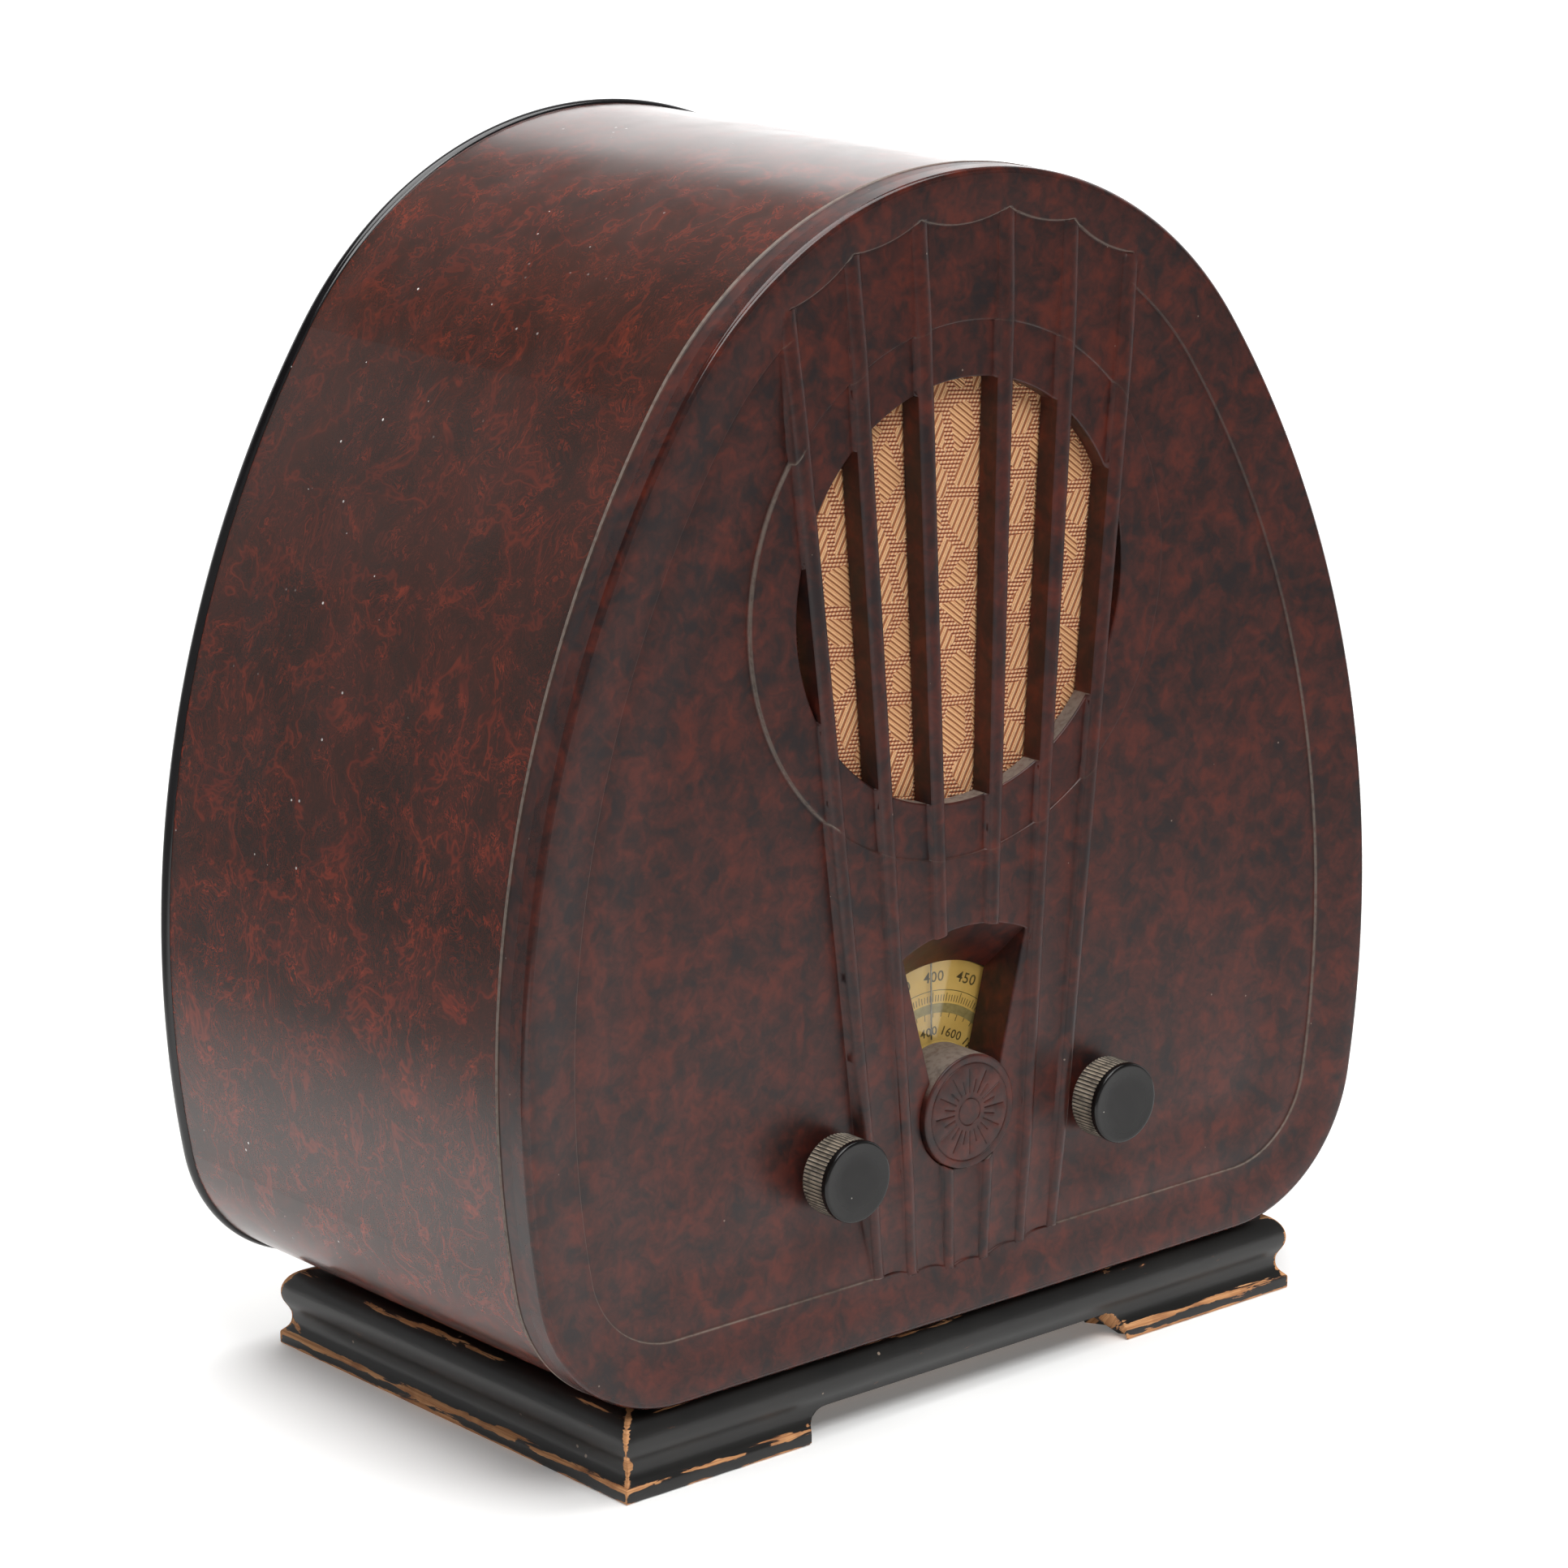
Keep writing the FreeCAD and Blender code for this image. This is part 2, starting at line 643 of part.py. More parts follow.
def make_speaker():
    """Cloth, baffle and a moving-coil loudspeaker with its cone, coil and field magnet."""
    keep("speaker_cloth", rod("cloth", "cloth_r", "cloth_thick", "0", "cloth_y", "speaker_z", "back"))

    baffle = new_body("baffle_body")
    start = "cloth_y + cloth_thick"
    pad(baffle, "front", start, "baffle_thick", rectangle,
        "-baffle_half", "baffle_low", "2 * baffle_half", "baffle_tall")
    pocket(baffle, "front", start, "baffle_thick", circle, "0", "speaker_z", "opening_r - 2")
    pocket(baffle, "front", start, "baffle_thick", four_posts, "chassis_screw_r * 0.7")
    keep("baffle_board", baffle)

    screws = []
    for across in ("-post_x", "post_x"):
        for up in ("post_low_z", "post_high_z"):
            screws.append(screw(f"baffle_screw_{len(screws)}", "4", "2.4", "chassis_screw_r * 0.7",
                                "baffle_thick + 2", across, f"{FLANGE_Y}", up, "ahead"))
    keep("baffle_screws", group("baffle_screw_set", *screws))

    frame = [
        ("80", "0"), ("flange_r", "0"), ("flange_r", "2"), ("82.5", "2"), ("44", "42"), ("44", "46"),
        ("20", "46"), ("20", "44"), ("42", "44"), ("42", "41"), ("80", "1.6"),
    ]
    basket = lathe("basket_body", frame, "0", FLANGE_Y, "speaker_z", "back")
    windows = [rod(f"basket_window_{number}", "13", "60", "0", FLANGE_Y, "speaker_z", "up")
               for number in range(4)]
    for number, window in enumerate(windows):
        angle = math.pi / 4 + number * math.pi / 2
        across, up = math.cos(angle), math.sin(angle)
        window.setExpression("Placement.Base.x", None)
        window.setExpression("Placement.Base.z", None)
        turn = Rotation(Vector(0, 0, 1), Vector(across, 0, up))
        start = Vector(38 * across, worth(FLANGE_Y) + 25, worth("speaker_z") + 38 * up)
        window.setExpression("Placement.Base.y", None)
        window.Placement = Placement(start, turn)
    keep("speaker_frame", cut("basket", basket, *windows))

    surround = [("cone_r + 0.3", "0.4"), ("80", "0.4"), ("80", "1.4"), ("cone_r + 0.3", "1.4")]
    keep("cone_surround", lathe("surround_body", surround, "0", FLANGE_Y, "speaker_z", "back"))
    cone = [("cone_r - 1.5", "0.4"), ("cone_r", "0.4"), ("cone_r", "1.6"), ("18", "37"), ("17", "37"), ("17", "35.6")]
    keep("speaker_cone", lathe("cone_body", cone, "0", FLANGE_Y, "speaker_z", "back"))
    coil = [("16", "35"), ("17", "35"), ("17", "58"), ("16", "58")]
    keep("voice_coil", lathe("coil_body", coil, "0", FLANGE_Y, "speaker_z", "back"))
    spider = [("17.4", "42.2"), ("42", "42.2"), ("42", "43.2"), ("17.4", "43.2")]
    keep("speaker_spider", lathe("spider_body", spider, "0", FLANGE_Y, "speaker_z", "back"))
    pot = [
        ("18", "46"), ("magnet_r", "46"), ("magnet_r", "98"), ("0", "98"), ("0", "50"), ("15.4", "50"),
        ("15.4", "92"), ("magnet_r - 4", "92"), ("magnet_r - 4", "52"), ("18", "52"),
    ]
    keep("speaker_magnet", lathe("pot_body", pot, "0", FLANGE_Y, "speaker_z", "back"))
    winding = [("18.5", "62"), ("magnet_r - 5", "62"), ("magnet_r - 5", "90"), ("18.5", "90")]
    keep("field_coil", lathe("field_body", winding, "0", FLANGE_Y, "speaker_z", "back"))


# ---------------------------------------------------------------- dial, drive and controls


def make_dial():
    """The scale disc with its hub, pane, cursor and lamp, and the disc that drives it."""
    hub_end = "drive_y + drive_thick + 2"
    hub_long = f"{hub_end} - (dial_y - 0.8)"
    hub = [
        ("shaft_r", "0"), ("11", "0"), ("11", "0.8"), ("8", "0.8"), ("8", f"{hub_long} - 2"),
        ("11", f"{hub_long} - 2"), ("11", hub_long), ("shaft_r", hub_long),
    ]
    keep("dial_hub", lathe("hub_body", hub, "0", "dial_y - 0.8", "shaft_z", "back"))
    disc = [("8", "0"), ("dial_r", "0"), ("dial_r", "dial_thick"), ("8", "dial_thick")]
    keep("dial_disc", lathe("disc_body", disc, "0", "dial_y", "shaft_z", "back"))
    drive = [("8", "0"), ("drive_r", "0"), ("drive_r", "drive_thick"), ("8", "drive_thick")]
    keep("drive_disc", lathe("drive_body", drive, "0", "drive_y", "shaft_z", "back"))

    pane = new_body("pane_body")
    pad(pane, "front", "front_y + tunnel_back", "0.5", window_outline, "tunnel_wall")
    pocket(pane, "front", "front_y + tunnel_back", "0.5", circle, "0", "boss_z", "boss_r")
    keep("dial_window_pane", pane)
    cursor_low = "boss_z + boss_r + 0.5"
    keep("dial_cursor", rod("cursor", "0.35", f"window_top_z + 5 - ({cursor_low})",
                            "0", "front_y + tunnel_back + 0.85", cursor_low, "up"))

    lamp_y = "(dial_y + drive_y) / 2 + 0.6"
    lamp_top = "lamp_low + 14"
    bulb = [("0", "0", "lamp_r", -1), ("lamp_r", "lamp_r"), ("lamp_r", "14"), ("0", "14")]
    keep("dial_lamp", lathe("bulb_body", bulb, "0", lamp_y, "lamp_low", "up"))
    cup = rod("holder_cup", "lamp_r + 1", f"lamp_strap_z + 2 - ({lamp_top})", "0", lamp_y, lamp_top, "up")
    strap = block("holder_strap", ("10", f"{lamp_y} - ({FLANGE_Y})", "2"), "-5", FLANGE_Y, "lamp_strap_z")
    tab = block("holder_tab", ("10", "1.6", "24"), "-5", FLANGE_Y, "lamp_strap_z")
    keep("lamp_holder", fused("holder", cup, strap, tab))


def knob_outline():
    """A knob: flat face, softly broken edges, and a hub bored for the spindle."""
    return [
        ("0", "0"), ("knob_r - 0.8", "0"), ("knob_r", "0.8"), ("knob_r", "knob_long"),
        ("knob_r - 2.5", "knob_long"), ("knob_r - 2.5", "4"), ("7", "4"), ("7", "knob_long"),
        ("spindle_r", "knob_long"), ("spindle_r", "3"), ("0", "3"),
    ]


def make_controls():
    """Volume on the left, tuning on the right: knob, grub screw and spindle, in a bush each."""
    for name, across in (("volume", "-knob_x"), ("tuning", "knob_x")):
        knob = lathe(f"{name}_knob_body", knob_outline(), across, "knob_y", "knob_z", "back")
        hole = rod(f"{name}_grub_hole", "1.6", "knob_r", across, "knob_y + knob_long - 5", "knob_z", "down")
        keep(f"knob_{name}", cut(f"{name}_knob", knob, hole))
        keep(f"{name}_grub_screw", rod(f"{name}_grub", "1.6", "3.8", across, "knob_y + knob_long - 5",
                                       "knob_z - spindle_r - 0.05", "down"))
        spindle = f"{name}_spindle"
        keep(spindle, rod(f"{name}_rod", "spindle_r", "-46 - (knob_y + 3)", across, "knob_y + 3", "knob_z", "back"))

    washers = [
        ("spindle_r", "0"), ("pinch_r", "0"), ("pinch_r", "pinch_thick"), ("5", "pinch_thick"),
        ("5", "pinch_thick + drive_thick + 2 * pinch_gap"),
        ("pinch_r", "pinch_thick + drive_thick + 2 * pinch_gap"),
        ("pinch_r", "2 * pinch_thick + drive_thick + 2 * pinch_gap"),
        ("spindle_r", "2 * pinch_thick + drive_thick + 2 * pinch_gap"),
    ]
    keep("pinch_washers", lathe("washer_body", washers, "knob_x", "drive_y - pinch_thick - pinch_gap",
                                "knob_z", "back"))

    bushes, brackets = [], []
    for name, across in (("volume", "-knob_x"), ("tuning", "knob_x")):
        ring = [
            ("spindle_r + running_gap", "0"), ("7", "0"), ("7", "2"), ("4.8", "2"), ("4.8", "7"),
            ("spindle_r + running_gap", "7"),
        ]
        bushes.append(lathe(f"{name}_bush", ring, across, "bracket_y - 2", "knob_z", "back"))
        face = block(f"{name}_bracket_face", ("44", "bracket_thick", "48"), f"{across} - 22", "bracket_y", "82")
        foot = block(f"{name}_bracket_foot", ("44", "14", "bracket_thick"), f"{across} - 22", "bracket_y", "pan_top")
        hole = rod(f"{name}_bracket_hole", "4.8", "6", across, "bracket_y - 2", "knob_z", "back")
        brackets.append(cut(f"{name}_bracket", fused(f"{name}_bracket_blank", face, foot), hole))
    keep("spindle_bushes", group("bushes", *bushes))
    keep("control_brackets", group("brackets", *brackets))
    pot = [
        ("4.9", "0"), ("18", "0"), ("18", "15"), ("0", "15"), ("0", "14.4"), ("3.4", "14.4"), ("3.4", "3.4"),
        ("4.9", "3.4"),
    ]
    body = lathe("pot_body_turned", pot, "-knob_x", "bracket_y + bracket_thick", "knob_z", "back")
    relief = block("pot_relief", ("44", "14", "bracket_thick"), "-knob_x - 22", "bracket_y", "pan_top")
    keep("volume_potentiometer", cut("potentiometer", body, relief))


# ---------------------------------------------------------------- chassis and what stands on it


def make_tuning_gang():
    """A two-section tuning capacitor: frame, fixed plates and half-round moving plates."""
    long, high, wide = "gang_long", "gang_high", "2 * gang_half"
    base = block("gang_base", (wide, long, "2"), "-gang_half", "gang_front", "pan_top")
    ends = [
        block(f"gang_end_{number}", (wide, "2", high), "-gang_half", back, "pan_top")
        for number, back in enumerate(("gang_front", f"gang_front + {long} - 2"))
    ]
    bore = rod("gang_bore", "shaft_r + running_gap", f"{long} + 4", "0", "gang_front - 2", "shaft_z", "back")
    keep("gang_frame", cut("gang_frame_cut", fused("gang_frame_blank", base, *ends), bore))

    starts = [f"gang_front + {offset} + {number} * plate_pitch" for offset in (8, 36) for number in range(6)]
    shaft = rod("gang_shaft", "shaft_r", f"gang_front + {long} + 4 - (dial_y - 0.8)",
                "0", "dial_y - 0.8", "shaft_z", "back")
    moving = [rod(f"rotor_plate_{number}", "rotor_r", "plate_thick", "0", back, "shaft_z", "back", 180)
              for number, back in enumerate(starts)]
    keep("gang_rotor", fused("rotor", shaft, *moving))

    fixed = []
    for number, back in enumerate(starts):
        plate = rod(f"stator_plate_{number}", "rotor_r + 1", "plate_thick", "0",
                    f"{back} + plate_pitch / 2", "shaft_z", "back", 180)
        plate.Placement = Placement(plate.Placement.Base, Rotation(Vector(0, 1, 0), 90) * TURNS["back"])
        fixed.append(plate)
    bars = [
        block("stator_bar_high", ("4", "52", "3"), "-rotor_r - 4.3", "gang_front + 6", "shaft_z + 3"),
        block("stator_bar_low", ("4", "52", "3"), "-rotor_r - 4.3", "gang_front + 6", "shaft_z - 6"),
    ]
    clear = rod("stator_clear", "8", "gang_long", "0", "gang_front", "shaft_z", "back")
    keep("gang_stator", cut("stator", fused("stator_blank", *fixed, *bars), clear))


VALVES = {
    "valve_rf": ("-105", "-20", 17, 84),
    "valve_detector": ("-105", "32", 17, 84),
    "valve_output": ("-58", "76", 20, 98),
    "valve_rectifier": ("28", "78", 20, 92),
}


def make_valves():
    """Glass valves, each in its own base and socket on the chassis."""
    bases, sockets = [], []
    for name, (across, back, radius, tall) in VALVES.items():
        neck = f"{radius} * 0.62"
        bulb = [
            ("0", "0"), (f"{radius} - 4", "0"), (radius, "10"), (radius, f"{tall} - {radius} - 30"),
            (neck, f"{tall} - 36"), (neck, f"{tall} - 30", neck, 1), ("0", f"{tall} - 30 + {neck}"),
        ]
        keep(name, lathe(f"{name}_glass", bulb, across, back, "pan_top + 30", "up"))
        base = [("0", "8"), (f"{radius} - 2", "8"), (f"{radius} - 2", "30"), ("0", "30")]
        bases.append(lathe(f"{name}_base", base, across, back, "pan_top", "up"))
        socket = [("0", "0"), (f"{radius} + 2", "0"), (f"{radius} + 2", "6"), (f"{radius} - 1", "8"), ("0", "8")]
        sockets.append(lathe(f"{name}_socket", socket, across, back, "pan_top", "up"))
    keep("valve_bases", group("base_set", *bases))
    keep("valve_sockets", group("socket_set", *sockets))


def make_chassis():
    """The steel pan and the parts that stand on it."""
    pan = new_body("pan_body")
    wide, deep = "2 * pan_half", "pan_back - pan_front"
    pad(pan, "floor", "pan_low", "pan_top - pan_low", rectangle, "-pan_half", "pan_front", wide, deep)
    inside = ["-pan_half + sheet_thick", "pan_front + sheet_thick", f"{wide} - 2 * sheet_thick",
              f"{deep} - 2 * sheet_thick"]
    mouth = ["-pan_half + 18", "pan_front + sheet_thick", f"{wide} - 36", f"{deep} - 2 * sheet_thick"]
    hollow = "pan_top - pan_low - 2 * sheet_thick"
    pocket(pan, "floor", "pan_low + sheet_thick", hollow, rectangle, *inside)
    pocket(pan, "floor", "pan_low - 1", "sheet_thick + 2", rectangle, *mouth)
    pocket(pan, "floor", "pan_low - 1", "sheet_thick + 2", case_fixings, "chassis_screw_r")
    pocket(pan, "front", "pan_back - 4", "6", circle, "lever_x", "lever_z", "5")
    keep("chassis_pan", pan)

    screws = []
    for back in ("pan_front + 24", "pan_back - 24"):
        for across in ("-pan_half + 9", "pan_half - 9"):
            screws.append(screw(f"case_screw_{len(screws)}", "5", "3", "chassis_screw_r", "24",
                                across, back, "case_floor - board_thick", "up"))
    keep("chassis_screws", group("case_screw_set", *screws))

    cans = [lathe(f"coil_can_{number}", [("0", "0"), ("19", "0"), ("19", "2"), ("17", "2"), ("17", "60"),
                                         ("15", "62"), ("0", "62")], across, "-20", "pan_top", "up")
            for number, across in enumerate(("66", "108"))]
    keep("coil_cans", group("can_set", *cans))
    smoothing = [rod(f"smoothing_can_{number}", "15", "68", "-18", back, "pan_top", "up")
                 for number, back in enumerate(("42", "80"))]
    keep("smoothing_capacitors", group("smoothing_set", *smoothing))

    core = cut(
        "mains_core",
        block("mains_core_blank", ("80", "26", "74"), "56", "48", "pan_top"),
        block("mains_core_gap_left", ("16", "26", "42"), "68", "48", "pan_top + 16"),
        block("mains_core_gap_right", ("16", "26", "42"), "108", "48", "pan_top + 16"),
    )
    keep("mains_transformer_core", core)
    winding = cut(
        "mains_winding",
        block("mains_winding_blank", ("46", "50", "41"), "73", "36", "pan_top + 16.5"),
        block("mains_winding_core", ("24", "26", "41"), "84", "48", "pan_top + 16.5"),
    )
    keep("mains_transformer_winding", winding)
    keep("output_transformer", block("output_box", ("34", "30", "36"), "-134", "62", "pan_top"))


# ---------------------------------------------------------------- back


def vent_row(sketch):
    """Three ventilation slots side by side."""
    for across in ("-vent_wide * 1.5 - 12", "-vent_wide / 2", "vent_wide / 2 + 12"):
        rectangle(sketch, across, "vent_low", "vent_wide", "vent_high")


COVER_FIXINGS = (("165", "58"), ("196", "190"), ("121", "398"))


def cover_holes(sketch, radius):
    """The holes for the cover's screws, the same on both sides."""
    for across, up in COVER_FIXINGS:
        both_sides(sketch, across, up, radius)


def make_back():
    """The back cover with its vents and cut-out, and what can be reached through it."""
    cover = new_body("cover_body")
    pad(cover, "front", "shell_back", "cover_thick", case_outline, "cover_inset")
    pocket(cover, "front", "shell_back", "cover_thick", rectangle,
           "cutout_left", "cutout_low", "cutout_wide", "cutout_high")
    pocket(cover, "front", "shell_back", "cover_thick", cover_holes, "2")
    slots = pocket(cover, "front", "shell_back", "cover_thick", vent_row)
    rows = cover.newObject("PartDesign::LinearPattern", "vent_rows")
    rows.Originals = [slots]
    rows.Direction = (slots.Profile[0], ["V_Axis"])
    bind(rows, "Length", "vent_rise")
    rows.Occurrences = 9
    cover.Tip = rows
    keep("back_cover", cover)

    screws, blocks = [], []
    for across, up in COVER_FIXINGS:
        for sign in ("-", ""):
            number = len(screws)
            screws.append(screw(f"cover_screw_{number}", "4", "2.4", "1.8", "14",
                                f"{sign}{across}", "shell_back + cover_thick", up, "ahead"))
            blank = block(f"fixing_blank_{number}", ("18", "22", "18"), f"{sign}{across} - 9",
                          "shell_back - 22", f"{up} - 9")
            hole = rod(f"fixing_hole_{number}", "1.8", "14", f"{sign}{across}", "shell_back", up, "ahead")
            blocks.append(cut(f"fixing_block_{number}", blank, hole))
    keep("back_cover_screws", group("cover_screw_set", *screws))
    keep("cover_fixing_blocks", group("fixing_set", *blocks))

    strip = block("strip_blank", ("46", "3", "22"), "aerial_x - 13", "pan_back", "socket_z - 11")
    holes = [rod(f"strip_hole_{number}", "socket_r + 1.6", "3", across, "pan_back", "socket_z", "back")
             for number, across in enumerate(("aerial_x", "earth_x"))]
    keep("terminal_strip", cut("strip", strip, *holes))
    tube = [("socket_r", "0"), ("socket_r + 1.6", "0"), ("socket_r + 1.6", "socket_y - pan_back"),
            ("socket_r", "socket_y - pan_back")]
    sockets = [lathe(f"socket_{number}", tube, across, "pan_back", "socket_z", "back")
               for number, across in enumerate(("aerial_x", "earth_x"))]
    keep("terminal_sockets", group("sockets", *sockets))

    shroud = cut(
        "inlet_shroud",
        block("inlet_blank", ("38", "13", "24"), "18", "pan_back", "52"),
        block("inlet_recess", ("30", "10", "16"), "22", "pan_back + 3", "56"),
    )
    pins = [rod(f"inlet_pin_{number}", "2", "12", across, "pan_back + 1", "64", "back")
            for number, across in enumerate(("30", "44"))]
    keep("mains_inlet", fused("inlet", shroud, *pins))

    wafer_back = "pan_back - sheet_thick - 10"
    ring = [("3 + running_gap", "0"), ("14", "0"), ("14", "10"), ("4.9", "10"), ("4.9", "13"),
            ("3 + running_gap", "13")]
    keep("wave_switch_body", lathe("switch_body", ring, "lever_x", wafer_back, "lever_z", "back"))
    spindle = rod("lever_spindle", "3", "26", "lever_x", "pan_back - 16", "lever_z", "back")
    arm = block("lever_arm", ("7", "3", "22"), "lever_x - 3.5", "pan_back + 7", "lever_z - 3.5")
    keep("wave_switch_lever", fused("lever", spindle, arm))


make_cabinet()
make_plinth()
make_speaker()
make_dial()
make_controls()
make_tuning_gang()
make_valves()
make_chassis()
make_back()
doc.recompute()

faults = [f"{thing.Label}: {thing.State}" for thing in doc.Objects
          if {"Invalid", "Error"} & set(thing.State)]
for name, node in nodes.items():
    if node.Shape.isNull() or not node.Shape.isValid() or not node.Shape.Solids:
        faults.append(f"{name}: bad shape")
if faults:
    raise RuntimeError("; ".join(faults))

os.makedirs("parts", exist_ok=True)
for name, node in nodes.items():
    node.Shape.exportStep(f"parts/{name}.step")
print(len(nodes), "sub-parts written")
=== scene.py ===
import json
import random
from math import atan2, copysign, cos, exp, hypot, pi, radians, sin, sqrt

import bpy
import numpy as np
from mathutils import Matrix, Vector
from mathutils.geometry import delaunay_2d_cdt


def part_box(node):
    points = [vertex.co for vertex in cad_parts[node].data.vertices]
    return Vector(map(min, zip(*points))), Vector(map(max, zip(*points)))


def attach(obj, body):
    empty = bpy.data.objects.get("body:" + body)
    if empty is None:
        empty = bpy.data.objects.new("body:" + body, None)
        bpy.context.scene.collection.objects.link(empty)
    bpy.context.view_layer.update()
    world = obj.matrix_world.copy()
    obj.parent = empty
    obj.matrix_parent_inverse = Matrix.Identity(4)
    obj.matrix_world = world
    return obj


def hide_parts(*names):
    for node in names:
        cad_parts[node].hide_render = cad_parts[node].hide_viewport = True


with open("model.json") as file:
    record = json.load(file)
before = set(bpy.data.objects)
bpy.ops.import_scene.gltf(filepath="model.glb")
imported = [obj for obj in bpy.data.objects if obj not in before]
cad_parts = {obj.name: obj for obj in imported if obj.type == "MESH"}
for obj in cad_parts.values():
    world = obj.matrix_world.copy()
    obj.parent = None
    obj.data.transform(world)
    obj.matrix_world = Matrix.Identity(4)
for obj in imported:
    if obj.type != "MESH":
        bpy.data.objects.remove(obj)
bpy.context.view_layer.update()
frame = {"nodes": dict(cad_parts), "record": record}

# Lengths in the shape code are millimetres; mesh vertices are turned to metres when an object is made.
MM = 0.001
TURN = 2 * pi


def box_mm(node):
    """A CAD node's lowest and highest corners."""
    return [[c / MM for c in corner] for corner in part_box(node)]


# ---- sizes of the radio, as in the CAD model

(_, FRONT_Y, CASE_LOW), (CASE_HALF, _, CASE_TOP) = box_mm("front_panel")
ARC_TOP, ARC_SIDE, ARC_CORNER = 167.5, 438.4, 65.0
TOP_Z = CASE_TOP - ARC_TOP
SIDE_X = CASE_HALF - ARC_SIDE
SIDE_Z = TOP_Z - sqrt((ARC_SIDE - ARC_TOP) ** 2 - SIDE_X ** 2)
CORNER_Z = CASE_LOW + ARC_CORNER
CORNER_X = SIDE_X + sqrt((ARC_SIDE - ARC_CORNER) ** 2 - (CORNER_Z - SIDE_Z) ** 2)
UPPER = atan2(TOP_Z - SIDE_Z, -SIDE_X)
LOWER = atan2(CORNER_Z - SIDE_Z, CORNER_X - SIDE_X)

RIM_DEEP, RIM_WALL, PLATE_BACK, EDGE_R = 17.4, 6.0, 9.5, 2.2
LEAN_FROM, LEAN_WIDE, LEAN_DEEP = 4.0, 21.0, 2.5
STEP_AT, STEP_WIDE, STEP_DEEP, DISH_WIDE, DISH_DEEP = 25.0, 0.4, 1.0, 32.0, 2.0
SPEAKER_Z, OPENING_R, OPENING_LIP, RING_R, RING_DEEP = 321.9, 81.8, 0.8, 103.8, 3.5
BAR_BACK = 11.0
RIB_TOPS = [(-85.4, 441.0), (-54.6, 457.5), (-21.8, 466.0), (21.8, 466.0), (54.6, 457.5), (85.4, 441.0)]
RIB_FEET = [(-45.0, 57.0), (-28.0, 54.7), (-8.9, 52.5), (8.9, 52.5), (28.0, 54.7), (45.0, 57.0)]
RIB_TOP_WIDE, RIB_FOOT_WIDE, RIB_FADE = 8.0, 5.2, 45.0
SCALLOP_TOP_R, SCALLOP_FOOT_R, FLUTE_DEEP, FLUTE_HOLLOW = 60.0, 22.0, 2.4, 0.7
WINDOW_FOOT, WINDOW_TOP, WINDOW_R = (17.0, 127.0), (31.5, 183.0), 75.0
WINDOW_ARC_Z = WINDOW_TOP[1] - sqrt(WINDOW_R ** 2 - WINDOW_TOP[0] ** 2)
WINDOW_LIP, BOSS_LIP = 0.7, 0.5
TUNNEL_BACK, TUNNEL_WALL = 22.0, 2.5
BOSS_Z, BOSS_R = 115.7, 23.3
KNOB_X, KNOB_Z, SPINDLE_HOLE_R = 69.3, 106.9, 5.2
DIAL_Z, DIAL_R = 116.0, 55.0
POSTS = [(x, z) for x in (-88.0, 88.0) for z in (236.0, 400.0)]
POST_R, POST_BACK = 6.15, 12.6


def smooth(t):
    t = np.clip(t, 0.0, 1.0)
    return t * t * (3 - 2 * t)


def rounding(t):
    """Drop of a quarter-round of radius 1: none where t is 0, 1 at its edge, where t is 1."""
    return 1 - np.sqrt(np.clip(1 - np.clip(t, 0, 1) ** 2, 0, 1))


def case_inset(x, z):
    """How far inside the cabinet's outline a point lies."""
    ax = np.abs(x)
    turn = np.arctan2(z - SIDE_Z, ax - SIDE_X)
    over = ARC_TOP - np.hypot(ax, z - TOP_Z)
    side = ARC_SIDE - np.hypot(ax - SIDE_X, z - SIDE_Z)
    corner = ARC_CORNER - np.hypot(ax - CORNER_X, z - CORNER_Z)
    under = np.where(ax > CORNER_X, corner, z - CASE_LOW)
    return np.where(turn > UPPER, over, np.where(turn < LOWER, under, side))


def arc(cx, cz, r, angles):
    return [(cx + r * cos(t), cz + r * sin(t)) for t in angles]


def case_loop(inset):
    """The outline the same distance inside the outer one all round, with matching points on every loop."""
    half = [(x, CASE_LOW + inset) for x in np.linspace(0, CORNER_X, 24, endpoint=False)]
    for cx, cz, r, a, b, n in (
        (CORNER_X, CORNER_Z, ARC_CORNER, -pi / 2, LOWER, 30),
        (SIDE_X, SIDE_Z, ARC_SIDE, LOWER, UPPER, 76),
        (0.0, TOP_Z, ARC_TOP, UPPER, pi / 2, 40),
    ):
        half += arc(cx, cz, r - inset, np.linspace(a, b, n, endpoint=False))
    return half + [(0.0, TOP_Z + ARC_TOP - inset)] + [(-x, z) for x, z in reversed(half[1:])]


def rib_centre(k, z):
    (tx, tz), (fx, fz) = RIB_TOPS[k], RIB_FEET[k]
    return fx + (tx - fx) * (z - fz) / (tz - fz)


def rib_half(k, z):
    tz, fz = RIB_TOPS[k][1], RIB_FEET[k][1]
    return 0.5 * (RIB_FOOT_WIDE + (RIB_TOP_WIDE - RIB_FOOT_WIDE) * (z - fz) / (tz - fz))


def chord_arc(a, b, r, side):
    """The arc of radius r through a and b, on the given side of the chord: its centre and r."""
    mx, mz = (a[0] + b[0]) / 2, (a[1] + b[1]) / 2
    dx, dz = b[0] - a[0], b[1] - a[1]
    half = hypot(dx, dz) / 2
    reach = sqrt(r * r - half * half) * side
    return mx - dz / (2 * half) * reach, mz + dx / (2 * half) * reach, r


TOP_ARCS = [chord_arc(a, b, SCALLOP_TOP_R, 1) for a, b in zip(RIB_TOPS, RIB_TOPS[1:])]
FOOT_ARCS = [chord_arc(a, b, SCALLOP_FOOT_R, -1) for a, b in zip(RIB_FEET, RIB_FEET[1:])]


def circle_gap(circle, x, z):
    """How far outside a circle (centre x, centre z, radius) a point lies."""
    return np.hypot(x - circle[0], z - circle[1]) - circle[2]


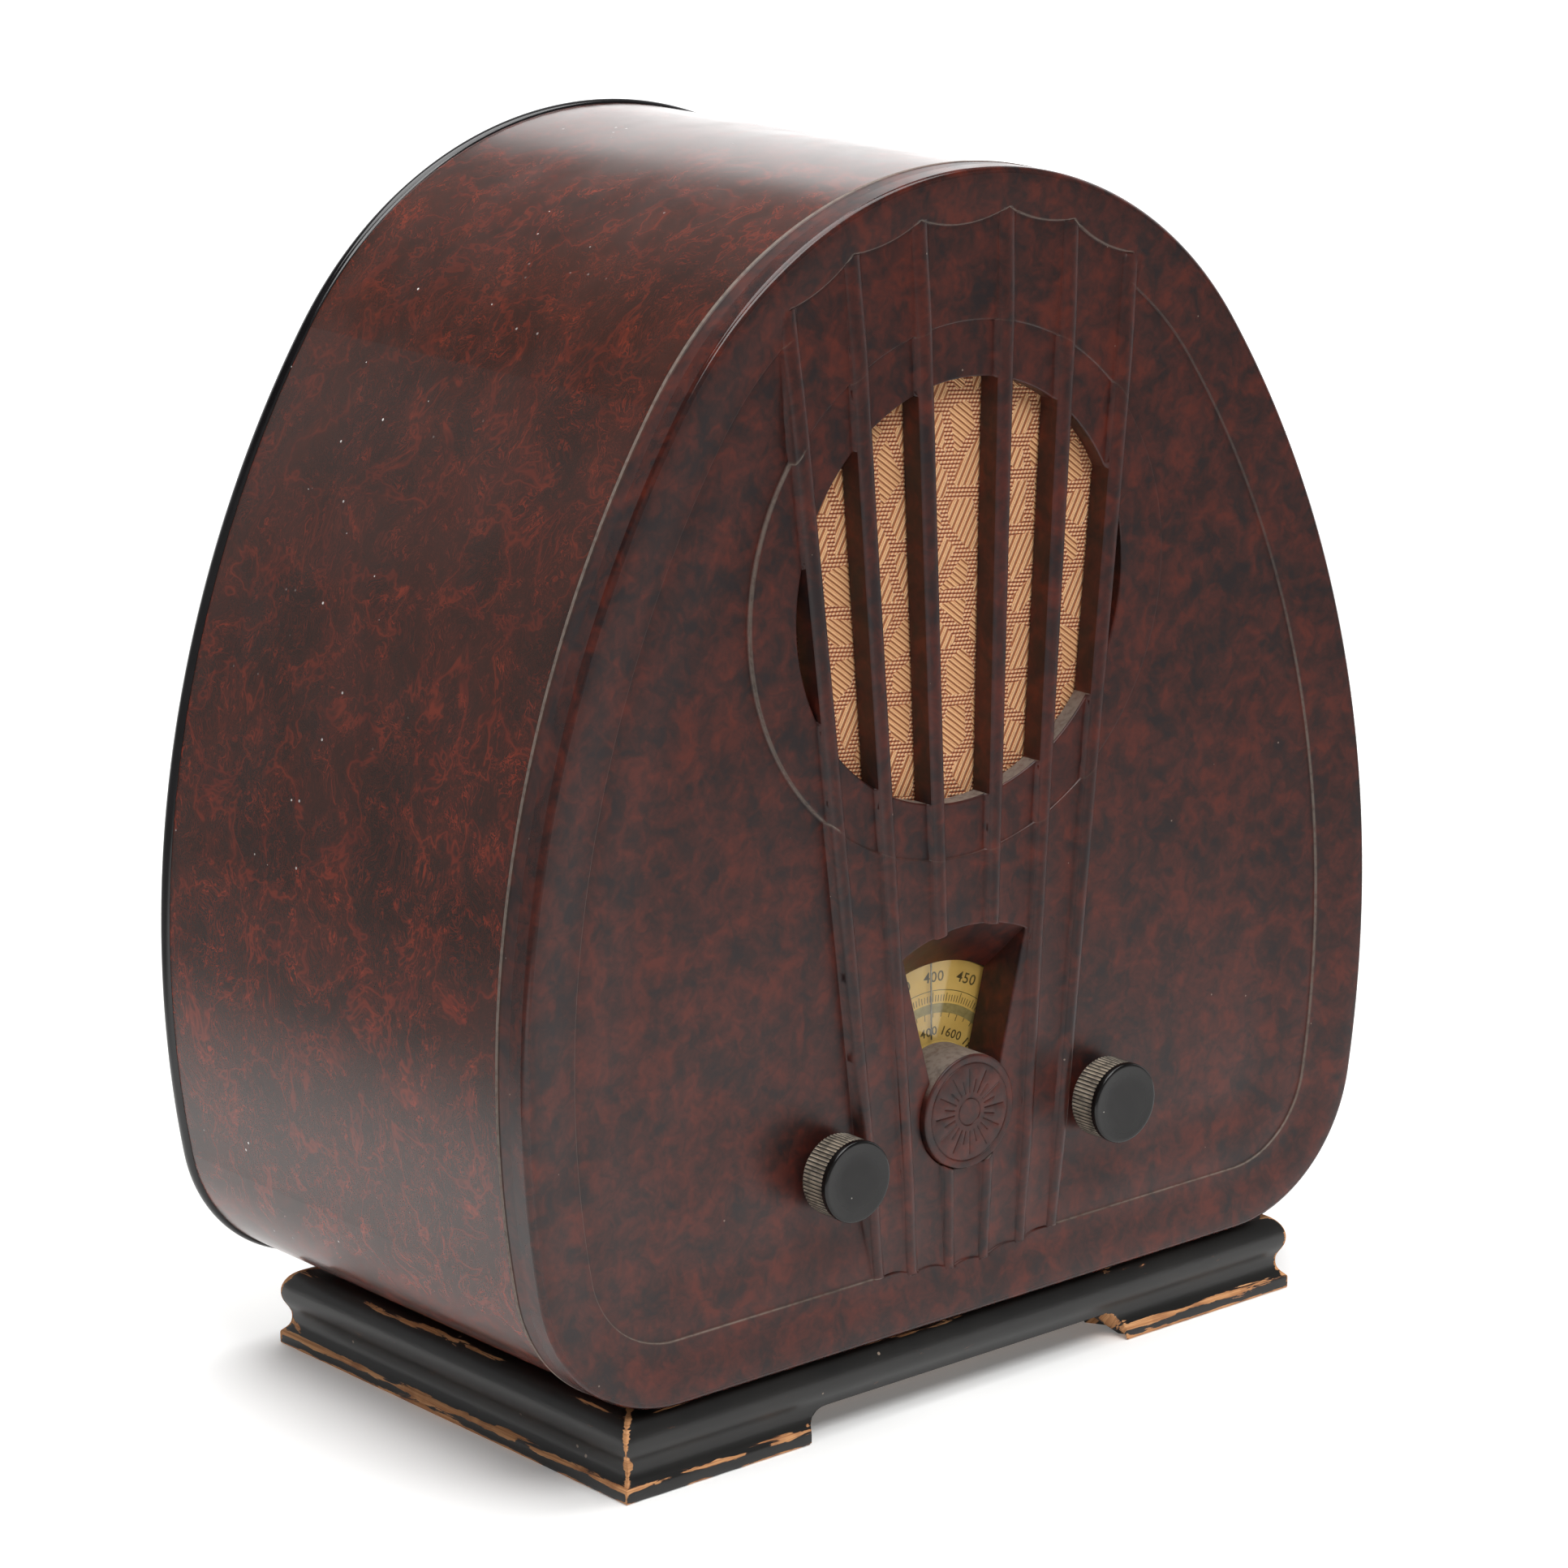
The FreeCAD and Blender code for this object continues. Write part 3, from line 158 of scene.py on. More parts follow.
def window_gap(x, z):
    """How far outside the dial window a point lies."""
    dx, dz = WINDOW_TOP[0] - WINDOW_FOOT[0], WINDOW_TOP[1] - WINDOW_FOOT[1]
    side = ((np.abs(x) - WINDOW_FOOT[0]) * dz - (z - WINDOW_FOOT[1]) * dx) / hypot(dx, dz)
    over = np.hypot(x, z - WINDOW_ARC_Z) - WINDOW_R
    return np.maximum(np.maximum(side, over), WINDOW_FOOT[1] - z)


def panel_depth(x, z):
    """Depth of the front panel's face behind its foremost plane."""
    s = case_inset(x, z)
    lean = np.clip((s - LEAN_FROM) / LEAN_WIDE, 0, 1)
    d = EDGE_R * rounding(1 - s / EDGE_R) + LEAN_DEEP * (lean * 0.55 + smooth(lean) * 0.45)
    d = d + smooth((s - STEP_AT) / STEP_WIDE) * STEP_DEEP + smooth((s - STEP_AT) / DISH_WIDE) * DISH_DEEP
    r = np.hypot(x, z - SPEAKER_Z)
    ring = smooth((RING_R - r) / 0.7)
    d = d * (1 - ring) + RING_DEEP * ring
    inside = np.full(np.shape(x), -1.0)
    flute = np.zeros(np.shape(x))
    for k in range(5):
        left, right = rib_centre(k, z), rib_centre(k + 1, z)
        here = (x >= left) & (x < right)
        reach = np.minimum(circle_gap(TOP_ARCS[k], x, z), circle_gap(FOOT_ARCS[k], x, z))
        v = (x - left) / np.maximum(right - left, 1e-6)
        inside = np.where(here, reach, inside)
        flute = np.where(here, FLUTE_DEEP + FLUTE_HOLLOW * (1 - (2 * v - 1) ** 2), flute)
    flute = flute * (1 - ring) + (RING_DEEP + 0.15) * ring
    fan = smooth(inside / 0.5)
    d = d * (1 - fan) + flute * fan + OPENING_LIP * rounding(1 - (r - OPENING_R) / OPENING_LIP)
    for k in range(6):
        half = rib_half(k, z)
        t = np.abs(x - rib_centre(k, z))
        end = np.minimum(RIB_TOPS[k][1] - z, z - RIB_FEET[k][1])
        crest = 0.15 + 1.35 * (1 - smooth(end / RIB_FADE))
        bead = crest + 1.9 * rounding(np.clip(t / half, 0, 0.985))
        on = smooth((half + 0.35 - t) / 0.35) * smooth(end / 0.6)
        d = d * (1 - on) + np.minimum(bead, d + 0.3) * on
    d = d + WINDOW_LIP * rounding(1 - window_gap(x, z) / WINDOW_LIP)
    return d + BOSS_LIP * rounding(1 - (np.hypot(x, z - BOSS_Z) - BOSS_R) / BOSS_LIP)


def panel_back(x, z):
    """Depth of the front panel's rear face."""
    d = PLATE_BACK + (RIM_DEEP - PLATE_BACK) * (1 - smooth((case_inset(x, z) - RIM_WALL) / 0.3))
    d = np.where(np.hypot(x, z - SPEAKER_Z) < OPENING_R + 0.15, BAR_BACK, d)
    d = np.where(window_gap(x, z) < TUNNEL_WALL + 0.15, TUNNEL_BACK, d)
    for px, pz in POSTS:
        d = np.where(np.hypot(x - px, z - pz) < POST_R, POST_BACK, d)
    return d


def panel_keeps(x, z):
    kept = np.hypot(x, z - SPEAKER_Z) > OPENING_R - 0.02
    for k in range(6):
        kept |= np.abs(x - rib_centre(k, z)) < rib_half(k, z) - 0.001
    kept &= (window_gap(x, z) > -0.001) & (np.hypot(x, z - BOSS_Z) > BOSS_R - 0.03)
    kept &= np.hypot(np.abs(x) - KNOB_X, z - KNOB_Z) > SPINDLE_HOLE_R - 0.03
    return kept & (case_inset(x, z) > -0.01)


def pale_line_dust_and_highlight(x, z):
    """Pale lines along the step, the speaker ring and the fan's scallops, partly dust and old polish and
    partly painted highlight: the ring's line is painted much paler on the left, and the step's line is paler
    lower down; below zero on edges rubbed bright.
    """
    s = case_inset(x, z)
    in_fan = np.zeros(np.shape(x), bool)
    scallop = np.zeros(np.shape(x))
    for k in range(5):
        here = (x >= rib_centre(k, z)) & (x < rib_centre(k + 1, z)) & (z > 52) & (z < 467)
        reach = circle_gap(TOP_ARCS[k], x, z)
        in_fan |= here & (reach > 0)
        scallop = np.where(here, np.clip(1 - np.abs(reach - 0.15) / 0.35, 0, 1), scallop)
    step = np.clip(1 - np.abs(s - STEP_AT - 0.2) / 0.3, 0, 1) * np.where(in_fan, 0, 1)
    step = step * (0.25 + 0.75 * smooth((330 - z) / 120.0))
    ring = np.clip(1 - np.abs(np.hypot(x, z - SPEAKER_Z) - RING_R + 0.3) / 0.4, 0, 1)
    # Painted highlight: the ring's pale line is strong on the left side (x < 0) and faint on the right.
    ring = ring * np.where(in_fan, 0.12, np.where(x < 0, 0.9, 0.15))
    dust = np.maximum(np.maximum(step * 0.9, ring), scallop * 0.8)
    return np.where(s < 2.6, -smooth((2.6 - s) / 0.5), dust)


# ---- meshes


def close_loop(points):
    return list(zip(points, points[1:] + points[:1]))


def open_line(points):
    return list(zip(points, points[1:]))


def ring_loop(cx, cz, r, n):
    return close_loop(arc(cx, cz, r, [TURN * i / n for i in range(n)]))


def triangulate(lines, fill):
    """Plane triangles whose edges follow every line; returns points and triangles."""
    index, points = {}, []

    def number(p):
        key = (round(p[0], 4), round(p[1], 4))
        if key not in index:
            index[key] = len(points)
            points.append(Vector(p))
        return index[key]

    edges = [(number(a), number(b)) for line in lines for a, b in line]
    for p in fill:
        number(p)
    out = delaunay_2d_cdt(points, [(i, j) for i, j in edges if i != j], [], 0, 1e-4)
    return np.array([(p.x, p.y) for p in out[0]]), np.array([tuple(f) for f in out[2] if len(f) == 3])


def add_object(name, data):
    obj = bpy.data.objects.new(name, data)
    bpy.context.scene.collection.objects.link(obj)
    return obj


def mesh_object(name, verts, faces, corner_normals=None, sharp=None):
    """A smooth-shaded object; edges sharper than sharp degrees stay crisp, and 0 leaves every face flat."""
    mesh = bpy.data.meshes.new(name)
    verts = [tuple(v) for v in np.asarray(verts, float) * MM]
    mesh.from_pydata(verts, [], [tuple(int(i) for i in face) for face in faces])
    mesh.update()
    if sharp != 0:
        mesh.shade_smooth()
    if sharp:
        mesh.set_sharp_from_angle(angle=radians(sharp))
    if corner_normals is not None:
        mesh.normals_split_custom_set([tuple(n) for n in corner_normals])
    return add_object(name, mesh)


def corner_value(obj, label, values):
    layer = obj.data.attributes.new(label, "FLOAT", "CORNER")
    layer.data.foreach_set("value", np.asarray(values, np.float32))


def relief_solid(name, lines, fill, depth, back, keeps, line_value=None, outer_wall=None):
    """A closed solid: a front face lifted by depth(), straight walls at every opening, a rear face at back().

    outer_wall is a test for points on the outline, the (inset, depth) rungs of the wall there, and the value
    each band between rungs gets in the 'dust' attribute: a painted highlight where above zero, polish where
    below.
    """
    plane, tris = triangulate(lines, fill)
    mid = plane[tris].mean(axis=1)
    tris = tris[keeps(mid[:, 0], mid[:, 1])]
    a, b, c = (plane[tris[:, i]] for i in range(3))
    area = (b[:, 0] - a[:, 0]) * (c[:, 1] - a[:, 1]) - (c[:, 0] - a[:, 0]) * (b[:, 1] - a[:, 1])
    tris[area < 0] = tris[area < 0][:, ::-1]
    used, tris = np.unique(tris[np.abs(area) > 1e-7], return_inverse=True)
    tris = tris.reshape(-1, 3)
    x, z = plane[used].T
    n, corners = len(x), tris.size
    eps = 0.04
    slope_x = (depth(x + eps, z) - depth(x - eps, z)) / (2 * eps)
    slope_z = (depth(x, z + eps) - depth(x, z - eps)) / (2 * eps)
    normals = np.column_stack([slope_x, -np.ones(n), slope_z])
    normals /= np.linalg.norm(normals, axis=1)[:, None]
    faces = [tuple(t) for t in tris] + [tuple(t[::-1] + n) for t in tris]
    corner = [normals[tris].reshape(-1, 3), np.tile([0.0, 1.0, 0.0], (corners, 1))]
    mark = [line_value(x, z)[tris].ravel() if line_value else np.zeros(corners), np.zeros(corners)]
    edges = [(t[i], t[(i + 1) % 3]) for t in tris for i in range(3)]
    both_ways = set(edges)
    outward, mean_out = {}, {}
    for i, j in edges:
        if (j, i) not in both_ways:
            dx, dz = x[j] - x[i], z[j] - z[i]
            long = hypot(dx, dz) or 1.0
            outward[(i, j)] = np.array([dz / long, 0.0, -dx / long])
            for v in (i, j):
                mean_out[v] = mean_out.get(v, 0) + outward[(i, j)]
    mean_out = {v: out / (np.linalg.norm(out) or 1.0) for v, out in mean_out.items()}

    extra, extra_at = [], {}
    for (i, j), out in outward.items():
        at_i, at_j = (mean_out[v] if mean_out[v] @ out > 0.8 else out for v in (i, j))
        outer = outer_wall and outer_wall[0](x[i], z[i]) and outer_wall[0](x[j], z[j])
        rungs = [[i], [j]]
        for inset, deep in outer_wall[1] if outer else ():
            for rung, v in zip(rungs, (i, j)):
                key = (v, inset, deep)
                if key not in extra_at:
                    extra_at[key] = 2 * n + len(extra)
                    ox, _, oz = mean_out[v] * inset
                    extra.append((x[v] - ox, FRONT_Y + deep, z[v] - oz))
                rung.append(extra_at[key])
        rungs[0].append(i + n)
        rungs[1].append(j + n)
        dust = smooth((out[2] - 0.35) / 0.4)
        for k in range(len(rungs[0]) - 1):
            faces.append((rungs[0][k], rungs[0][k + 1], rungs[1][k + 1], rungs[1][k]))
            corner.append(np.array([at_i, at_i, at_j, at_j]))
            mark.append(np.full(4, outer_wall[2][k] if outer else dust))
    sides = [np.column_stack([x, FRONT_Y + side(x, z), z]) for side in (depth, back)]
    obj = mesh_object(name, np.vstack(sides + ([extra] if extra else [])), faces, np.vstack(corner))
    # The 'dust' attribute holds dust on upward-facing walls, the pale lines from line_value and outer_wall
    # (partly painted highlight), and polish where below zero.
    corner_value(obj, "dust", np.concatenate(mark))
    return obj


def ring_faces(rows, n, joined=False):
    """Quads along rows of n points; the last row is joined to the first, or else both ends are capped."""
    faces = []
    for row in range(rows if joined else rows - 1):
        here, after = row * n, (row + 1) % rows * n
        faces += [(here + i, here + (i + 1) % n, after + (i + 1) % n, after + i) for i in range(n)]
    if not joined:
        faces += [tuple(reversed(range(n))), tuple(range((rows - 1) * n, rows * n))]
    return faces


def disc_faces(rings, steps):
    """Faces of a disc whose first point is its centre and whose rings follow from the inside out."""
    faces = [(0, 1 + j, 1 + (j + 1) % steps) for j in range(steps)]
    for i in range(rings - 1):
        for j in range(steps):
            a, b = 1 + i * steps + j, 1 + i * steps + (j + 1) % steps
            faces.append((a, a + steps, b + steps, b))
    return faces


def lathe(profile, centre, steps, joined=False, radial=None):
    """A profile of (radius, y) turned about the Y axis through centre; radial(i, row) changes a radius."""
    verts = []
    for row, (r, y) in enumerate(profile):
        for i in range(steps):
            t, rr = TURN * i / steps, r + (radial(i, row) if radial else 0.0)
            verts.append((centre[0] + rr * sin(t), y, centre[1] + rr * cos(t)))
    return verts, ring_faces(len(profile), steps, joined)


# ---- materials


def srgb(r, g, b):
    linear = [c / 255 / 12.92 if c <= 10 else ((c / 255 + 0.055) / 1.055) ** 2.4 for c in (r, g, b)]
    return (*linear, 1.0)


class Nodes:
    """A tree of shader nodes; numbers go straight to sockets and sockets are linked."""

    def __init__(self, tree, coordinates):
        self.tree = tree
        self.where = tree.nodes.new("ShaderNodeTexCoord").outputs[coordinates]

    def put(self, socket, value):
        if isinstance(value, bpy.types.NodeSocket):
            self.tree.links.new(value, socket)
        elif value is not None:
            socket.default_value = value

    def add(self, kind, *inputs, named=(), **settings):
        """A new node, with its inputs in order, or by name."""
        made = self.tree.nodes.new("ShaderNode" + kind)
        for key, value in settings.items():
            setattr(made, key, value)
        for key, value in [*enumerate(inputs), *dict(named).items()]:
            self.put(made.inputs[key], value)
        return made

    def node(self, kind, *inputs, **settings):
        return self.add(kind, *inputs, **settings).outputs

    def noise(self, scale, detail=3.0, rough=0.55, twist=0.0, where=None, out="Fac"):
        inputs = {"Vector": where or self.where, "Scale": scale, "Detail": detail, "Roughness": rough}
        return self.node("TexNoise", named={**inputs, "Distortion": twist})[out]

    def wander(self, by, scale, where=None):
        """A small vector that changes from place to place, for bending a pattern."""
        colour = self.noise(scale, 2.0, 0.5, where=where, out="Color")
        return self.scaled(self.vector("SUBTRACT", colour, (0.5, 0.5, 0.5)), by)

    def math(self, op, *values, **settings):
        return self.node("Math", *values, operation=op, **settings)[0]

    def plus(self, a, b):
        return self.math("ADD", a, b)

    def times(self, a, b):
        return self.math("MULTIPLY", a, b)

    def fit(self, a, by, plus):
        return self.math("MULTIPLY_ADD", a, by, plus)

    def off_half(self, value):
        """How far a value is from 0.5: small along the winding lines of a noise."""
        return self.math("ABSOLUTE", self.math("SUBTRACT", value, 0.5))

    def vector(self, op, a, b):
        return self.node("VectorMath", a, b, operation=op)[0]

    def scaled(self, a, by):
        return self.node("VectorMath", a, named={"Scale": by}, operation="SCALE")[0]

    def axes(self, where):
        return self.node("SeparateXYZ", where)

    def along(self, direction):
        return self.node("VectorMath", self.where, direction, operation="DOT_PRODUCT")["Value"]

    def stretch(self, x, y, z, where=None):
        return self.node("Mapping", named={"Vector": where or self.where, "Scale": (x, y, z)})[0]

    def ramp(self, value, *stops):
        made = self.add("ValToRGB", value)
        while len(made.color_ramp.elements) < len(stops):
            made.color_ramp.elements.new(0.5)
        for element, (place, colour) in zip(made.color_ramp.elements, stops):
            element.position, element.color = place, srgb(*colour)
        return made.outputs[0]

    def tone(self, scale, dark, light, detail=3.0, low=0.3, high=0.7):
        """A colour that drifts between two colours."""
        return self.ramp(self.noise(scale, detail), (low, dark), (high, light))

    def band(self, value, low, high, to_low=0.0, to_high=1.0):
        return self.node("MapRange", value, low, high, to_low, to_high, interpolation_type="SMOOTHSTEP")[0]

    def drift(self, scale, low, high, detail=3.0):
        """A value that drifts between two values."""
        return self.band(self.noise(scale, detail), 0.3, 0.7, low, high)

    def mix(self, amount, a, b):
        """Colour a turning to b, which is a colour or a socket."""
        b = srgb(*b) if isinstance(b, tuple) else b
        return self.node("Mix", named={"Factor": amount, 6: a, 7: b}, data_type="RGBA")[2]

    def attribute(self, name):
        return self.node("Attribute", attribute_name=name)["Fac"]

    def specks(self, scale, size, share):
        """Tiny scattered dots: 1 on a dot, 0 elsewhere."""
        cells = self.node("TexVoronoi", named={"Vector": self.where, "Scale": scale})
        near = self.math("LESS_THAN", cells["Distance"], size)
        return self.times(near, self.math("LESS_THAN", self.node("SeparateColor", cells["Color"])[0], share))


class Look(Nodes):
    """A node material with a principled shader."""

    def __init__(self, name, **sockets):
        self.material = bpy.data.materials.new(name)
        self.material.use_nodes = True
        self.material.node_tree.nodes.clear()
        super().__init__(self.material.node_tree, "Object")
        self.out, self.shader = self.add("OutputMaterial"), self.add("BsdfPrincipled")
        self.put(self.out.inputs[0], self.shader.outputs[0])
        self.set(**sockets)

    def set(self, **sockets):
        for key, value in sockets.items():
            self.put(self.shader.inputs[key.replace("_", " ")], value)

    def bump(self, height, strength, distance):
        inputs = {"Height": height, "Strength": strength, "Distance": distance * MM}
        self.set(Normal=self.node("Bump", named=inputs)[0])


def bakelite():
    look = Look("bakelite_mottled", IOR=1.5, Specular_IOR_Level=0.37)
    soft, spots = look.noise(74, 4.0, 0.62, 0.6), look.noise(165, 3.0, 0.6, 0.9)
    value = look.plus(look.times(soft, 0.6), look.times(spots, 0.4))
    value = look.plus(value, look.times(look.math("SUBTRACT", look.noise(13, 2.0), 0.5), 0.2))
    brown = (0.37, (33, 22, 23)), (0.44, (47, 25, 22)), (0.52, (63, 29, 24)), (0.64, (84, 34, 24))
    colour = look.ramp(value, *brown)
    colour = look.mix(look.times(look.specks(260, 0.10, 0.012), 0.6), colour, (150, 130, 118))
    mark = look.attribute("dust")
    # Above zero the mark is real dust plus painted highlight lines along the seam and speaker ring; both are
    # mixed in as pale grey-brown.
    dust = look.math("MAXIMUM", mark, 0.0)
    polish = look.times(look.math("MINIMUM", mark, 0.0), 0.24)
    dust_and_highlight = look.times(dust, look.band(look.noise(420), 0.25, 0.6, 0.5, 0.95))
    look.set(Base_Color=look.mix(dust_and_highlight, colour, (128, 116, 106)))
    worn = look.plus(look.times(dust, 0.3), polish)
    look.set(Roughness=look.plus(look.drift(30, 0.34, 0.44, 4.0), worn))
    look.bump(look.plus(look.noise(900, 2.0), look.times(look.noise(120, 2.0), 2.0)), 0.25, 0.03)
    return look


def burl():
    """Printed burl: soft branching veins round islands of fine curling strokes."""
    look = Look("burl_print", IOR=1.5, Specular_IOR_Level=0.42)
    pushed = look.vector("ADD", look.where, look.wander(0.03, 26))
    from_vein = look.off_half(look.noise(24, 4.0, 0.6, 0.4, pushed))
    veins = look.band(from_vein, 0.0, 0.018, 1.0, 0.0)
    glow = look.band(from_vein, 0.0, 0.06, 0.07, 0.0)
    flow = look.stretch(1.0, 1.0, 0.6, look.vector("ADD", pushed, look.wander(0.009, 95, pushed)))
    hairs = look.band(look.off_half(look.noise(235, 3.0, 0.55, 0.9, flow)), 0.0, 0.04, 1.0, 0.0)
    fine = look.band(look.off_half(look.noise(520, 2.0, 0.5, 1.0, flow)), 0.0, 0.07, 1.0, 0.0)
    broken = look.band(look.noise(150, where=pushed), 0.46, 0.57)
    islands = look.band(look.noise(55, 3.0, 0.55, 0.5, pushed), 0.38, 0.6)
    hairs = look.times(look.times(hairs, broken), look.fit(islands, 0.5, 0.32))
    fine = look.times(fine, look.fit(islands, 0.2, 0.08))
    ink = look.math("MAXIMUM", look.times(veins, 0.4), look.math("MAXIMUM", hairs, fine))
    ink = look.plus(ink, look.plus(glow, look.times(islands, 0.04)))
    _, y, z = look.axes(look.where)
    # The ink is thicker low down and thins towards the top, a painted shade that darkens the shell's top; the
    # drift is patchiness of the print.
    patch_and_top_shade = look.times(look.drift(11, 0.74, 1.0, 2.0), look.band(z, 0.2, 0.37, 1.2, 0.62))
    ink = look.math("MULTIPLY", ink, patch_and_top_shade, use_clamp=True)
    ground = look.tone(24, (46, 28, 23), (58, 32, 25), 3.0, 0.35, 0.65)
    colour = look.mix(ink, ground, look.tone(70, (122, 42, 28), (156, 58, 35), 2.0, 0.35, 0.65))
    rearward, clouds = look.band(y, -0.06, 0.09), look.band(look.noise(16, 2.0), 0.42, 0.6)
    dust = look.times(look.specks(190, 0.1, 0.2), look.times(rearward, clouds))
    look.set(Base_Color=look.mix(dust, colour, (235, 232, 228)), Roughness=look.drift(26, 0.14, 0.22))
    look.bump(look.plus(look.noise(60, 2.0), look.times(dust, 3.0)), 0.12, 0.12)
    return look


def gloss_black(name, rough, tint):
    look = Look(name, IOR=1.5)
    colour = look.tone(80, tint, (tint[0] + 8, tint[1] + 7, tint[2] + 8))
    colour = look.mix(look.specks(240, 0.09, 0.03), colour, (215, 212, 208))
    look.set(Base_Color=colour, Roughness=look.drift(50, rough * 0.8, rough * 1.3))
    look.bump(look.noise(500, 2.0), 0.1, 0.03)
    return look


def knob_black():
    look = Look("knob_black", IOR=1.5, Specular_IOR_Level=0.34)
    mark = look.attribute("dust")
    dust = look.math("MAXIMUM", mark, 0.0)
    caked = look.times(dust, look.band(look.noise(260, 4.0), 0.3, 0.62, 0.45, 1.0))
    colour = look.mix(caked, look.tone(150, (15, 14, 14), (22, 20, 19)), (222, 210, 192))
    colour = look.mix(look.specks(330, 0.1, 0.03), colour, (150, 145, 138))
    shine = look.plus(look.times(dust, 0.3), look.times(look.math("MINIMUM", mark, 0.0), 0.22))
    look.set(Base_Color=colour, Roughness=look.plus(look.drift(60, 0.34, 0.42), shine))
    look.bump(look.noise(800, 2.0), 0.15, 0.03)
    return look


def weave():
    """Ribbed thread running two ways in leaf-like patches, with rows of bead-like stitches between them."""
    look = Look("grille_cloth", Roughness=0.7, Sheen_Weight=0.3, Sheen_Roughness=0.4)
    wobble = look.wander(0.004, 60)
    at = look.axes(look.vector("ADD", look.where, wobble))
    flat = look.node("CombineXYZ", at[0], look.times(at[2], 0.78))[0]
    inputs = {"Vector": flat, "Scale": 68, "Randomness": 0.85}
    cells, edges = (look.node("TexVoronoi", named=inputs, voronoi_dimensions="2D", feature=feature)
                    for feature in ("F1", "DISTANCE_TO_EDGE"))
    pick = look.node("SeparateColor", cells["Color"])[0]
    x, _, z = look.axes(look.vector("ADD", look.where, look.scaled(wobble, 0.12)))

    def stripes(angle, pitch):
        c, s = cos(radians(angle)), sin(radians(angle))
        across = look.plus(look.times(x, -s), look.times(z, c))
        wave = look.math("SINE", look.times(across, TURN / (pitch * MM)))
        return look.plus(look.times(wave, 0.5), 0.5)

    def threads(angle, pitch, every):
        fine = look.fit(stripes(angle, pitch), 0.4, 0.6)
        coarse = look.band(stripes(angle, pitch * every), 0.0, 0.5, 0.26, 1.0)
        return look.times(look.times(fine, coarse), look.fit(stripes(angle + 90, 0.9), 0.14, 0.86))

    def choose(which, a, b):
        return look.plus(look.times(a, which), look.times(b, look.math("SUBTRACT", 1.0, which)))

    body = choose(look.math("GREATER_THAN", pick, 0.47), threads(60, 0.95, 3), threads(-38, 1.0, 2))
    rows = look.band(stripes(-7, 1.55), 0.1, 0.7, 0.15, 1.0)
    beads = look.times(rows, look.fit(stripes(62, 1.7), 0.7, 0.3))
    on_border = look.band(edges["Distance"], 0.12, 0.15, 1.0, 0.0)
    height = choose(on_border, beads, body)
    # Thread and stitch colours follow the weave's height: darker in its hollows as painted shade, paler on
    # the raised threads as painted highlight.
    thread = look.ramp(height, (0.1, (108, 50, 24)), (0.36, (194, 120, 70)), (0.8, (250, 196, 142)))
    stitch = look.ramp(height, (0.05, (104, 42, 22)), (0.3, (200, 112, 66)), (0.7, (255, 208, 158)))
    aged = look.band(look.noise(40), 0.3, 0.75, 0.0, 0.18)
    look.set(Base_Color=look.mix(aged, look.mix(on_border, thread, stitch), (168, 108, 64)))
    look.bump(look.plus(height, look.times(look.noise(1500, 2.0), 0.2)), 0.8, 0.6)
    return look


def worn_paint():
    """Black paint over pale wood, chipped where the moulding's edges have been knocked."""
    look = Look("plinth_paint", IOR=1.5)
    along = look.node("UVMap", uv_map="run")[0]
    long_grain = look.stretch(1.0, 6.0, 1.0, along)
    big = look.math("SUBTRACT", look.noise(13, 3.0, 0.6, 0.3, long_grain), 0.5)
    value = look.plus(look.noise(46, 5.0, 0.62, 0.6, long_grain), look.times(big, 1.3))
    value = look.plus(value, look.fit(look.attribute("wear"), 0.47, -0.12))
    small = look.plus(look.noise(58, 5.0, 0.6, 0.5, look.stretch(1.0, 2.2, 1.0, along)), 0.065)
    value = look.math("MAXIMUM", value, small)
    rim, bare = look.band(value, 0.735, 0.76), look.band(value, 0.765, 0.785)
    grain = look.noise(90, 4.0, 0.7, 0.4, look.stretch(0.25, 9.0, 1.0, along))
    wood = look.ramp(grain, (0.3, (160, 100, 56)), (0.55, (206, 150, 100)), (0.75, (228, 182, 132)))
    wood = look.mix(look.band(look.noise(60), 0.5, 0.7, 0.0, 0.6), wood, (128, 74, 42))
    paint = look.tone(40, (15, 14, 13), (26, 24, 22), 4.0)
    paint = look.mix(look.times(look.specks(170, 0.12, 0.04), 0.8), paint, (150, 132, 116))
    colour = look.mix(bare, look.mix(rim, paint, (74, 46, 30)), wood)
    look.set(Base_Color=colour, Roughness=look.band(bare, 0.0, 1.0, 0.36, 0.75))
    texture = look.times(look.noise(120, where=long_grain), 0.25)
    look.bump(look.math("SUBTRACT", texture, bare), 0.6, 0.35)
    return look


def dial_ivory():
    look = Look("dial_scale", Roughness=0.45)
    colour = look.tone(60, (226, 188, 104), (240, 206, 128))
    # The faint emission is painted light: the recessed dial glows a little, though it is no lamp.
    look.set(Base_Color=colour, Emission_Color=colour, Emission_Strength=0.06)
    look.bump(look.noise(300, 2.0), 0.05, 0.05)
    return look


def dial_ink(name, colour):
    look = Look(name, Roughness=0.6)
    shade = look.tone(500, colour, [c + 22 for c in colour])
    # The faint emission is painted light, glowing with the dial behind it.
    look.set(Base_Color=shade, Emission_Color=shade, Emission_Strength=0.06)
    return look


def clear_pane():
    look = Look("clear_pane")
    clear = look.node("BsdfTransparent", (0.97, 0.955, 0.9, 1.0))[0]
    sheen = look.node("BsdfGlossy", named={"Roughness": 0.06})[0]
    smear = look.plus(look.band(look.noise(90), 0.3, 0.8, 0.0, 0.03), 0.02)
    amount = look.fit(look.node("LayerWeight", 0.35)["Facing"], 0.14, smear)
    look.put(look.out.inputs[0], look.node("MixShader", amount, clear, sheen)[0])
    look.tree.nodes.remove(look.shader)
    return look


